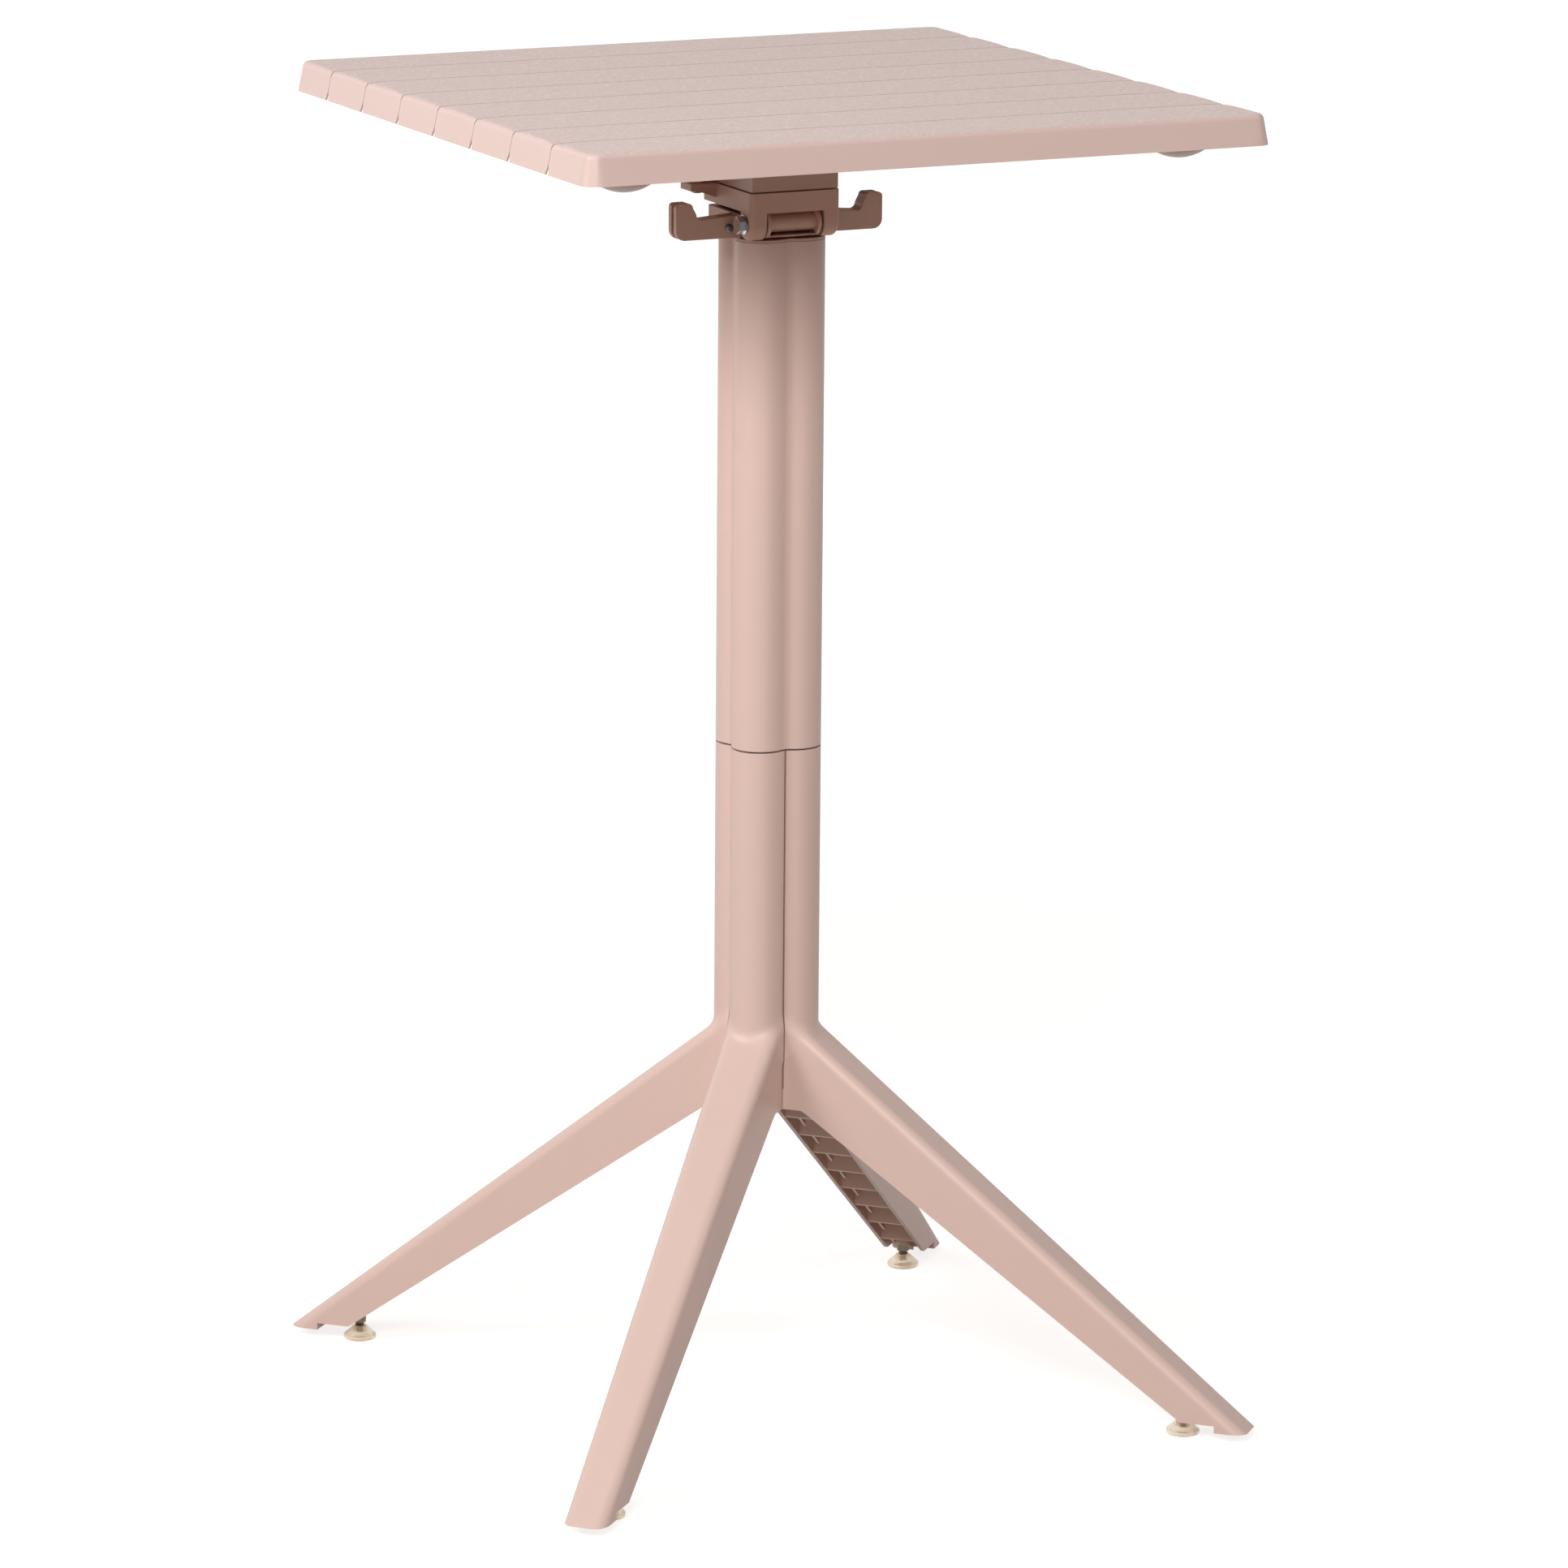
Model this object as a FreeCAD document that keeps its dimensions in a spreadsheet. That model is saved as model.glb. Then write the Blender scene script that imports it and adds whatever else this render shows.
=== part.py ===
import FreeCAD, Part
import math
import os
import re
import Sketcher
from FreeCAD import Placement, Rotation, Vector

# Folding bar table: a slatted square top that tilts on a forked bracket, a lobed column in two
# stages and four splayed channel legs on screw feet.
# Millimetres. Z is up, the origin is on the floor under the column, X runs along the planks and
# the tilt pin, and the front of the table faces -Y.

# Driving dimensions: alias, value, meaning.
SIZES = (
    # Table top
    ("top_side", 600, "side of the square top at the foot of its rim"),
    ("deck_rise", 107, "plank surface above the tilt pin"),
    ("rim_height", 25, "rim foot to plank surface"),
    ("rim_draft", 11, "lean of the rim, degrees"),
    ("rim_wall", 5, "thickness of the rim"),
    ("rim_corner", 15, "corner radius of the rim foot in plan"),
    ("edge_round", 5.5, "rounding between rim and planks"),
    ("deck_thickness", 5, "thickness of the plank sheet"),
    ("plank_pitch", 75, "groove to groove"),
    ("plank_crown", 0.7, "rise of each plank to its ridge"),
    ("plank_ridge", 19, "ridge of a plank in front of its rear groove"),
    ("groove_width", 1.8, "width of the groove between planks"),
    ("rim_line", 0.9, "width of the lines down the rim"),
    ("groove_depth", 0.8, "depth of that groove"),
    ("notch_width", 6, "width of the open notch at the rim foot"),
    ("notch_height", 9.5, "height of that notch"),
    ("notch_reach", 10, "notch inwards from the rim foot"),
    ("notch_wall", 1.6, "rim wall beside a notch"),
    ("relief_width", 32, "width of the relief behind a notch"),
    ("relief_height", 11, "height of that relief"),
    ("rib_thickness", 2.6, "ribs under the deck"),
    ("rib_depth", 13, "depth of those ribs"),
    ("rib_offset", 95, "inner ribs from the middle"),
    ("dome_inset", 57, "corner bosses inside the edges of the top"),
    ("dome_radius", 36, "radius of a corner boss"),
    ("dome_drop", 14, "corner boss below the rim foot"),
    ("dome_wall", 3.5, "wall of a corner boss"),
    ("dome_post", 7, "radius of the post inside a corner boss"),
    ("hub_back", 72, "rear face of the hub block"),
    ("hub_wall", 4, "walls of the hub block"),
    ("hub_inset", 1.5, "hub block inside the bracket's sides"),
    ("parting_gap", 1, "shadow gap between hub walls and bracket"),
    ("gusset_thickness", 3, "diagonal gussets at the hub"),
    ("gusset_reach", 200, "gusset end from the middle, along X"),
    ("gusset_foot", 24, "gusset above the hub foot"),
    # Tilt bracket
    ("pivot_forward", 32, "tilt pin in front of the column axis"),
    ("pivot_rise", 15.4, "tilt pin above the column"),
    ("bracket_width", 80, "across the bracket and the hub"),
    ("bracket_front", 13, "front face in front of the pin, and the ears' radius"),
    ("bracket_back", 46, "rear face of bracket and head"),
    ("bracket_rise", 26.5, "upper face above the pin"),
    ("bracket_skirt", 10, "lower edge of the walls above the pin"),
    ("bracket_roof", 6, "thickness of the roof"),
    ("bracket_wall", 5, "thickness of the side walls"),
    ("bracket_bar", 4.5, "thickness of the front cross bar"),
    ("bracket_rear", 6, "thickness of the rear cross bar"),
    ("bracket_edge", 4, "rounding of the front corners and ears"),
    ("ear_thickness", 14, "thickness of an ear"),
    ("ear_back", 10, "rear edge of an ear behind the pin"),
    ("wing_reach", 63, "end of a screw wing from the middle"),
    ("wing_screw", 53, "wing screws from the middle"),
    ("wing_back", 32, "wing screws behind the column axis"),
    ("wing_width", 20, "width of a wing"),
    ("wing_thickness", 5.5, "thickness of a wing"),
    ("wing_web", 3, "thickness of the web under a wing"),
    ("wing_web_reach", 57, "end of that web from the middle"),
    ("wing_web_drop", 8, "depth of that web at its root"),
    ("roof_screw", 18, "front bracket screws from the middle"),
    ("roof_screw_back", 8, "front bracket screws in front of the axis"),
    ("stop_gap", 0.3, "bracket stop above the head"),
    ("stop_width", 24, "width of that stop"),
    ("screw_boss", 6.5, "radius of the bosses that take the bracket screws"),
    # Fasteners
    ("screw_radius", 2.5, "bracket screw shank"),
    ("screw_length", 18, "bracket screw below its head"),
    ("screw_head", 4.8, "bracket screw head radius"),
    ("screw_head_height", 3.2, "bracket screw head height"),
    ("screw_bevel", 1, "bevel of that head"),
    ("screw_room", 2, "hole past the end of a bracket screw"),
    ("screw_play", 0.1, "hole over shank, radius"),
    ("pivot_radius", 4, "tilt bolt shank"),
    ("pivot_play", 0.06, "bolt in its bores, radius"),
    ("bolt_flats", 13, "bolt head and nut across flats"),
    ("bolt_head", 5.3, "bolt head height"),
    ("bolt_tail", 9, "bolt past the outer washer"),
    ("nut_height", 6.5, "hexagon of the lock nut"),
    ("nut_collar", 5.8, "radius of the lock nut's collar"),
    ("nut_collar_height", 2.5, "height of that collar"),
    ("nut_sink", 8.5, "recess for nut and washer in the right ear"),
    ("nut_room", 0.6, "that recess round the washer"),
    ("washer_radius", 8, "bolt washer"),
    ("washer_thickness", 1.6, "bolt washer"),
    ("friction_radius", 10.5, "friction washer"),
    ("friction_thickness", 1.7, "friction washer"),
    ("friction_play", 0.15, "each side of a friction washer"),
    # Column head
    ("head_width", 76, "across the head"),
    ("head_rise", 6, "upper face of the head above the pin"),
    ("head_play", 0.5, "front of the head behind the sweep of the ears"),
    ("head_flange", 1.9, "flange that covers the column"),
    ("head_sleeve", 22, "sleeve inside the column"),
    ("head_corner", 6, "rear corners of the head"),
    ("head_pocket", 10, "depth of the coring pockets"),
    ("head_wall", 4, "walls between the coring pockets"),
    ("knuckle_radius", 12, "barrel round the tilt bolt"),
    ("knuckle_wall", 3, "side walls of the cored barrel"),
    ("knuckle_lip", 2.5, "lower lip of the cored barrel"),
    ("knuckle_roof", 3.5, "upper wall of the cored barrel"),
    ("knuckle_tube", 7.5, "tube round the bolt inside the barrel"),
    ("lug_reach", 52, "hook lug from the middle"),
    ("lug_thickness", 7.8, "hook lug"),
    ("lug_depth", 13, "hook lug height"),
    ("lug_end_play", 0.5, "end of the lug in its slot"),
    ("catch_reach", 6.5, "latch catch behind the head"),
    ("catch_depth", 5, "latch catch height"),
    ("catch_drop", 4, "upper face of the catch below the head"),
    ("catch_width", 22, "latch catch"),
    # Bag hooks
    ("hook_middle", 7.5, "hook plane in front of the axis"),
    ("hook_thickness", 15, "hook"),
    ("hook_drop", 13, "hook arm below the pin"),
    ("hook_arm", 16, "depth of the arm at the throat"),
    ("hook_root", 2.5, "extra depth at the root"),
    ("hook_reach", 93, "hook end from the middle"),
    ("hook_tip", 30, "height of the upturned tip"),
    ("hook_tip_width", 15, "width of the tip at its top"),
    ("hook_lean", 3, "lean of the tip's inner side"),
    ("hook_heel", 8, "outer lower round"),
    ("hook_nose", 3.5, "rounds of the tip"),
    ("hook_throat", 5, "round inside the hook"),
    ("hook_slot", 4, "slot in the end of the hook"),
    ("hook_slot_depth", 7, "depth of that slot"),
    ("hook_play", 0.1, "lug in its slot"),
    ("hook_screw_out", 46, "hook screws from the middle"),
    ("hook_screw_radius", 2, "hook screw shank"),
    ("hook_screw_head", 3.8, "hook screw head radius"),
    ("hook_screw_head_height", 2.4, "hook screw head height"),
    # Latch
    ("latch_back", 58, "latch pin behind the axis"),
    ("latch_rise", 14, "latch pin above the tilt pin"),
    ("latch_width", 27.2, "latch lever"),
    ("latch_barrel", 5, "barrel of the lever"),
    ("latch_arm", 6, "arm of the lever"),
    ("latch_nose", 10, "nose in front of the latch pin"),
    ("latch_nose_depth", 6, "nose height"),
    ("latch_nose_edge", 1.5, "front face of the nose"),
    ("latch_gap", 0.4, "nose under the catch"),
    ("latch_handle", 22, "handle behind the latch pin"),
    ("latch_grip_round", 2, "round under the end of the handle"),
    ("latch_open", 22, "lever turned open, degrees"),
    ("latch_pin_radius", 2, "latch pin"),
    ("latch_pin_play", 0.06, "latch pin in its holes, radius"),
    ("latch_side_play", 0.4, "lever beside a lug"),
    ("latch_lug", 5, "lug that holds the latch pin"),
    ("latch_lug_radius", 6, "round of that lug"),
    # Column
    ("column_length", 424, "upper column"),
    ("column_wall", 3.5, "wall of column and shanks"),
    ("lobe_radius", 23.2, "radius of a lobe"),
    ("lobe_offset", 21.8, "lobe centre from the axis"),
    ("valley_radius", 8, "hollow between the lobes of the column"),
    ("seam_gap", 1.2, "joint between column and legs"),
    ("seam_inset", 1.6, "collar inside the lobes"),
    ("collar_sleeve", 14, "collar sleeves, up and down"),
    ("sleeve_play", 0.4, "sleeves in column and legs, radius"),
    ("tube_radius", 24, "core tube"),
    ("tube_wall", 2, "core tube"),
    ("tube_length", 500, "core tube"),
    ("tube_play", 0.2, "core tube in its seats, radius"),
    ("cap_height", 6, "cap on the core tube"),
    ("cap_spigot", 12, "spigot of that cap"),
    ("rod_radius", 5, "tie rod"),
    ("rod_play", 0.3, "tie rod in its holes, radius"),
    ("rod_nut_flats", 17, "tie rod nut across flats"),
    ("rod_nut_height", 8, "tie rod nut"),
    ("rod_tail", 1, "tie rod past its nuts"),
    ("rod_sink", 0.45, "tie rod below the face of the head"),
    ("rod_seat_play", 1, "tie rod washer in its seat, radius"),
    ("thread_play", 0.05, "nut over thread, radius"),
    ("rod_washer_radius", 12, "tie rod washer"),
    ("rod_washer_thickness", 2, "tie rod washer"),
    ("clamp_radius", 17, "clamp plate under the legs"),
    ("clamp_thickness", 4, "clamp plate"),
    ("clamp_play", 1, "clamp plate in its recess, radius"),
    # Legs
    ("leg_height", 557.4, "upper end of the legs"),
    ("leg_bend_height", 313.5, "corner of the crest line"),
    ("leg_slope", 38.5, "crest below the horizontal, degrees"),
    ("leg_tip_width", 37, "width at the tip"),
    ("leg_shoulder", 9, "rounding between the crown of an arm and its sides"),
    ("leg_room_bevel", 5, "bevel of the room inside an arm"),
    ("leg_tip_height", 8.5, "underside of the toe"),
    ("leg_heel_height", 14.5, "underside at the foot"),
    ("leg_heel_back", 55.4, "slope of the underside ends, behind the tip"),
    ("leg_toe", 26.4, "toe from its step to the tip"),
    ("leg_crotch", 250, "underside of the leg cluster"),
    ("leg_crotch_end", 40, "flat of the underside from the axis"),
    ("leg_crotch_round", 10, "round at the end of that flat"),
    ("leg_floor", 17.5, "thickness of the leg cluster floor"),
    ("leg_floor_end", 40, "end of that floor from the axis"),
    ("leg_slit", 1.6, "gap between shanks"),
    ("leg_lip_slit", 0.6, "gap between shanks at the floor"),
    ("leg_rib", 2.2, "ribs inside a leg"),
    ("leg_rib_start", 66, "first cross rib from the axis"),
    ("leg_rib_pitch", 36, "cross rib to cross rib"),
    ("leg_rib_shy", 0.8, "ribs short of the underside"),
    ("leg_stub", 16, "short rib along each cell"),
    ("leg_stub_side", 5, "that rib beside the middle"),
    ("leg_web_pitch", 70, "webs inside the shank"),
    ("leg_toe_wall", 8, "solid toe behind the step"),
    # Feet
    ("foot_back", 58.4, "foot behind the tip of the leg"),
    ("foot_boss", 9.5, "boss round the insert"),
    ("insert_radius", 5.5, "threaded insert"),
    ("insert_length", 18, "threaded insert"),
    ("insert_play", 0.05, "insert in its boss, radius"),
    ("stem_radius", 4, "foot stem"),
    ("stem_length", 30, "foot stem"),
    ("stem_play", 0.05, "stem in the insert, radius"),
    ("stem_room", 6, "room above the stem"),
    ("pad_radius", 14, "foot pad"),
    ("pad_height", 11, "foot pad"),
    ("pad_edge", 3.5, "edge of the foot pad"),
    ("pad_bevel", 1, "bevel round the sole of the pad"),
    ("pad_neck", 6, "upper end of the foot pad"),
    ("pad_floor", 4, "pad under the stem"),
)

ALIASES = {row[0] for row in SIZES}
QUARTERS = {"front_left": 225, "front_right": 315, "back_left": 135, "back_right": 45}

doc = FreeCAD.newDocument("bar_table")
sheet = doc.addObject("Spreadsheet::Sheet", "Sizes")
for row, (alias, amount, meaning) in enumerate(SIZES, start=1):
    sheet.set(f"A{row}", meaning)
    sheet.set(f"B{row}", str(amount))
    sheet.setAlias(f"B{row}", alias)
doc.recompute()

# Heights and places that several pieces share, as formulas on the sheet.
COLUMN_FOOT = "(leg_height + seam_gap)"
COLUMN_TOP = f"({COLUMN_FOOT} + column_length)"
PIVOT = f"({COLUMN_TOP} + pivot_rise)"
SURFACE = f"({PIVOT} + deck_rise)"
RIM_FOOT = f"({SURFACE} - rim_height)"
DECK_FOOT = f"({SURFACE} - deck_thickness)"
RIB_FOOT = f"({DECK_FOOT} - rib_depth)"
DOME = "(top_side / 2 - dome_inset)"
HUB_FOOT = f"({PIVOT} + bracket_rise)"
HUB_FRONT = "(-pivot_forward - bracket_front)"
ROOF_FOOT = f"({HUB_FOOT} - bracket_roof)"
SKIRT = f"({PIVOT} + bracket_skirt)"
HEAD_TOP = f"({PIVOT} + head_rise)"
EAR_INNER = "(bracket_width / 2 - ear_thickness)"
KNUCKLE_SIDE = f"({EAR_INNER} - friction_thickness - 2 * friction_play)"
HOOK_FOOT = f"({PIVOT} - hook_drop)"
LUG_MIDDLE = f"({HOOK_FOOT} + hook_arm / 2)"
LATCH = f"({PIVOT} + latch_rise)"
CATCH_FOOT = f"({HEAD_TOP} - catch_drop - catch_depth)"
LATCH_DROP = f"({LATCH} - {CATCH_FOOT} + latch_gap)"
LOBE_SIDE = "(lobe_offset / sqrt(2))"
VALLEY_CENTRE = f"({LOBE_SIDE} + sqrt((lobe_radius + valley_radius)^2 - {LOBE_SIDE}^2))"
VALLEY_ROOT = f"({VALLEY_CENTRE} - valley_radius - column_wall)"
SHANK_ROOT = "(sqrt(2) * (lobe_radius - column_wall))"
LEG_TIP = "(lobe_offset + lobe_radius + (leg_bend_height - leg_tip_height) / tan(leg_slope))"
FOOT_OUT = f"({LEG_TIP} - foot_back)"
FLOOR_TOP = "(leg_crotch + leg_floor)"
CLAMP_TOP = "(leg_crotch + rod_tail + rod_nut_height + clamp_thickness)"
NUT_SEAT = f"({HEAD_TOP} - rod_nut_height - rod_washer_thickness - rod_tail - rod_sink)"
TUBE_TOP = f"({FLOOR_TOP} + tube_length)"


def tied(text):
    """Formula text with the sheet's name before each alias."""
    return re.sub(r"[A-Za-z_]\w*", lambda m: f"Sizes.{m[0]}" if m[0] in ALIASES else m[0], text)


def value(text):
    """Number that a formula gives now."""
    return float(sheet.evalExpression(tied(text)))


def bind(item, **formulas):
    """Bind properties of an object to formulas."""
    for name, text in formulas.items():
        item.setExpression(name.replace("__", "."), tied(text))
    return item


def place(item, x="0", y="0", z="0"):
    """Bind an object's place to formulas."""
    return bind(item, Placement__Base__x=x, Placement__Base__y=y, Placement__Base__z=z)


def make_body(label):
    item = doc.addObject("PartDesign::Body", label)
    item.Label = label
    return item


def arc_between(start, end, radius, turn):
    """Arc from start to end that bends to the left or to the right, under a half circle."""
    chord = end - start
    left = Vector(-chord.y, chord.x, 0)
    left.normalize()
    reach = math.sqrt(max(radius ** 2 - (chord.Length / 2) ** 2, 0))
    if turn == "right":
        reach = -reach
        start, end = end, start
    centre = (start + end) * 0.5 + left * reach
    angles = [math.atan2(p.y - centre.y, p.x - centre.x) for p in (start, end)]
    return Part.ArcOfCircle(Part.Circle(centre, Vector(0, 0, 1), radius), *angles)


def fix(profile, kind, *where, text):
    """Dimension in a sketch, bound to a formula."""
    index = profile.addConstraint(Sketcher.Constraint(kind, *where, value(text)))
    profile.setExpression(f"Constraints[{index}]", tied(text))


def fix_point(profile, geometry, end, x, y):
    fix(profile, "DistanceX", -1, 1, geometry, end, text=x)
    fix(profile, "DistanceY", -1, 1, geometry, end, text=y)


def add_circle(profile, x, y, radius):
    centre = Vector(value(x), value(y), 0)
    index = profile.addGeometry(Part.Circle(centre, Vector(0, 0, 1), value(radius)))
    fix_point(profile, index, 3, x, y)
    fix(profile, "Radius", index, text=radius)


def add_outline(profile, corners):
    """Closed outline. A corner is (x, y), or (x, y, radius, turn) where an arc leads to the next."""
    points = [Vector(value(corner[0]), value(corner[1]), 0) for corner in corners]
    pieces = []
    for corner, start, end in zip(corners, points, points[1:] + points[:1]):
        if len(corner) == 2:
            pieces.append((profile.addGeometry(Part.LineSegment(start, end)), 1, 2))
            continue
        arc = arc_between(start, end, value(corner[2]), corner[3])
        ends = (1, 2) if corner[3] == "left" else (2, 1)
        pieces.append((profile.addGeometry(arc), *ends))
    for piece, following in zip(pieces, pieces[1:] + pieces[:1]):
        join = Sketcher.Constraint("Coincident", piece[0], piece[2], following[0], following[1])
        profile.addConstraint(join)
    for corner, piece in zip(corners, pieces):
        fix_point(profile, piece[0], piece[1], corner[0], corner[1])
        if len(corner) > 2:
            fix(profile, "Radius", piece[0], text=corner[2])


def draw(owner, plane, *shapes, lift="0"):
    """Sketch on an origin plane of its body, lifted along the plane's normal."""
    profile = owner.newObject("Sketcher::SketchObject", f"{owner.Name}_profile")
    support = next(item for item in owner.Origin.OriginFeatures if item.Role == f"{plane}_Plane")
    profile.AttachmentSupport = [(support, "")]
    profile.MapMode = "FlatFace"
    profile.setExpression("AttachmentOffset.Base.z", tied(lift))
    for shape in shapes:
        if isinstance(shape[0], str):
            add_circle(profile, *shape)
        else:
            add_outline(profile, shape)
    return profile


def box_outline(x0, y0, x1, y1):
    """Rectangle between two corners."""
    return ((x0, y0), (x1, y0), (x1, y1), (x0, y1))


def rounded_outline(half, radius):
    """Square with round corners, centred on the origin."""
    inner = f"({half} - {radius})"
    return (
        (f"-{inner}", f"-{half}"), (inner, f"-{half}", radius, "left"),
        (half, f"-{inner}"), (half, inner, radius, "left"),
        (inner, half), (f"-{inner}", half, radius, "left"),
        (f"-{half}", inner), (f"-{half}", f"-{inner}", radius, "left"),
    )


def lobed_outline(inset="0"):
    """Four lobes on the diagonals with hollows between them, inside the column's outline by inset."""
    lobe = f"(lobe_radius - {inset})"
    valley = f"(valley_radius + {inset})"
    span = "(lobe_radius + valley_radius)"
    far = f"({LOBE_SIDE} + {lobe} / {span} * sqrt({span}^2 - {LOBE_SIDE}^2))"
    near = f"({LOBE_SIDE} * {valley} / {span})"
    return (
        (far, near, lobe, "left"), (near, far, valley, "right"),
        (f"-{near}", far, lobe, "left"), (f"-{far}", near, valley, "right"),
        (f"-{far}", f"-{near}", lobe, "left"), (f"-{near}", f"-{far}", valley, "right"),
        (near, f"-{far}", lobe, "left"), (far, f"-{near}", valley, "right"),
    )


def hexagon_outline(flats):
    """Hexagon round the origin, flats towards Y."""
    corner = f"({flats} / sqrt(3))"
    return (
        (corner, "0"), (f"{corner} / 2", f"{flats} / 2"), (f"-{corner} / 2", f"{flats} / 2"),
        (f"-{corner}", "0"), (f"-{corner} / 2", f"-{flats} / 2"), (f"{corner} / 2", f"-{flats} / 2"),
    )


def extrude(kind, owner, profile, length, symmetric=False, backwards=False, draft=None):
    item = owner.newObject(f"PartDesign::{kind}", f"{owner.Name}_{kind.lower()}")
    item.Profile = profile
    item.SideType = "Symmetric" if symmetric else "One side"
    item.Reversed = backwards
    bind(item, Length=length)
    if draft:
        bind(item, TaperAngle=draft)
    profile.Visibility = False
    return item


def pad(owner, profile, length, **options):
    return extrude("Pad", owner, profile, length, **options)


def pocket(owner, profile, length, **options):
    """Cut, checked to have taken material away."""
    doc.recompute()
    before = owner.Shape.Volume
    item = extrude("Pocket", owner, profile, length, **options)
    doc.recompute()
    if owner.Shape.Volume >= before:
        raise RuntimeError(f"{owner.Label}: a pocket cuts nothing")
    return item


def revolve(owner, *shapes):
    """Revolution about Z of outlines drawn on the XZ plane."""
    profile = draw(owner, "XZ", *shapes)
    item = owner.newObject("PartDesign::Revolution", f"{owner.Name}_revolution")
    item.Profile = profile
    item.ReferenceAxis = (profile, ["V_Axis"])
    item.Angle = 360
    return item


def fillet(owner, base, radius, chosen):
    """Round the edges of a feature that a test picks."""
    doc.recompute()
    names = [f"Edge{i}" for i, edge in enumerate(base.Shape.Edges, start=1) if chosen(edge)]
    item = owner.newObject("PartDesign::Fillet", f"{owner.Name}_fillet")
    item.Base = (base, names)
    bind(item, Radius=radius)
    return item


def box(label, length, width, height, x, y, z):
    """Box bound to formulas, placed by its lowest corner."""
    item = doc.addObject("Part::Box", label)
    bind(item, Length=length, Width=width, Height=height)
    return place(item, x, y, z)


def cylinder(label, radius, height, x="0", y="0", z="0"):
    item = doc.addObject("Part::Cylinder", label)
    bind(item, Radius=radius, Height=height)
    return place(item, x, y, z)


def fuse(label, items):
    item = doc.addObject("Part::MultiFuse", label)
    item.Shapes = items
    item.Refine = True
    return item


def cut(label, base, tool):
    item = doc.addObject("Part::Cut", label)
    item.Base = base
    item.Tool = tool
    item.Refine = True
    return item


def group(label, items):
    """One node of separate solids."""
    item = doc.addObject("Part::Compound", label)
    item.Links = items
    item.Label = label
    return item


def lie_along_x(item, x, y, z):
    """Turn a body that was drawn about Z so that its Z runs along +X, and place it."""
    turned = f"placement(vector({x}; {y}; {z}); rotation(vector(0; 1; 0); 90))"
    return bind(item, Placement=turned)


def on_edge(edge, **where):
    """True where all of an edge's ends and its middle lie at the given coordinates."""
    middle = edge.valueAt((edge.FirstParameter + edge.LastParameter) / 2)
    points = [vertex.Point for vertex in edge.Vertexes] + [middle]
    return all(abs(getattr(p, axis) - at) < 1e-4 for p in points for axis, at in where.items())


# Table top


def rim_block(label, inset, height, rounding):
    """Rim and planks as one drafted block with a rounded upper edge."""
    block = make_body(label)
    half = f"(top_side / 2 - {inset})"
    outline = draw(block, "XY", rounded_outline(half, f"(rim_corner - {inset})"), lift=RIM_FOOT)
    raised = pad(block, outline, height, draft="-rim_draft")
    level = value(f"{RIM_FOOT} + {height}")
    fillet(block, raised, rounding, lambda edge: on_edge(edge, z=level))
    return block


def groove_count():
    """Grooves on each side of the middle one."""
    return math.ceil(value("top_side / 2 / plank_pitch")) - 1


def crown_planks(block):
    """Cut the planks to their crowns: a short rise from the rear groove and a long fall to the front one."""
    side = groove_count() + 1
    foot = f"{SURFACE} - plank_crown"
    corners = []
    for step in range(-side, side):
        corners.append((f"{step} * plank_pitch", foot))
        corners.append((f"{step + 1} * plank_pitch - plank_ridge", SURFACE))
    corners.append((f"{side} * plank_pitch", foot))
    corners.append((f"{side} * plank_pitch", f"{SURFACE} + edge_round"))
    corners.append((f"-{side} * plank_pitch", f"{SURFACE} + edge_round"))
    pocket(block, draw(block, "YZ", corners), "top_side", symmetric=True)


def grooves():
    """Grooves between the planks, which go on down the rim as finer lines."""
    cuts = []
    for step in range(-groove_count(), groove_count() + 1):
        y = f"{step} * plank_pitch - groove_width / 2"
        cuts.append(box("groove", "top_side", "groove_width", "2 * edge_round", "-top_side / 2", y,
                        f"{SURFACE} - edge_round"))
        y = f"{step} * plank_pitch - rim_line / 2"
        cuts.append(box("rim_line", "top_side", "rim_line", "rim_height", "-top_side / 2", y, RIM_FOOT))
    return cuts


def notches():
    """Open notches in the left and right rim, one under each groove."""
    cuts = []
    for step in range(-groove_count(), groove_count() + 1):
        notch = make_body("notch")
        middle = f"{step} * plank_pitch"
        outline = (
            (f"{middle} - notch_width / 2", RIM_FOOT),
            (f"{middle} + notch_width / 2", RIM_FOOT),
            (middle, f"{RIM_FOOT} + notch_height"),
        )
        pad(notch, draw(notch, "YZ", outline), "top_side", symmetric=True)
        keep = make_body("notch_keep")
        inner = "top_side - 2 * notch_reach"
        pad(keep, draw(keep, "YZ", box_outline(
            f"{middle} - notch_width", f"{RIM_FOOT} - notch_width", f"{middle} + notch_width", SURFACE,
        )), inner, symmetric=True)
        cuts.append(cut("rim_notch", notch, keep))
    return cuts


def reliefs():
    """Pockets that thin the rim behind its notches."""
    outer = "(top_side / 2 - notch_wall)"
    inner = "(top_side / 2 - notch_reach)"
    top = f"({RIM_FOOT} + relief_height)"
    outline = ((inner, RIM_FOOT), (outer, RIM_FOOT), (f"{outer} - relief_height * tan(rim_draft)", top),
               (inner, top))
    cuts = []
    for step in range(-groove_count(), groove_count() + 1):
        lift = f"-{step} * plank_pitch"
        for corners in (outline, mirrored(outline)):
            relief = make_body("relief")
            pad(relief, draw(relief, "XZ", corners, lift=lift), "relief_width", symmetric=True)
            cuts.append(relief)
    return cuts


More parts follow.
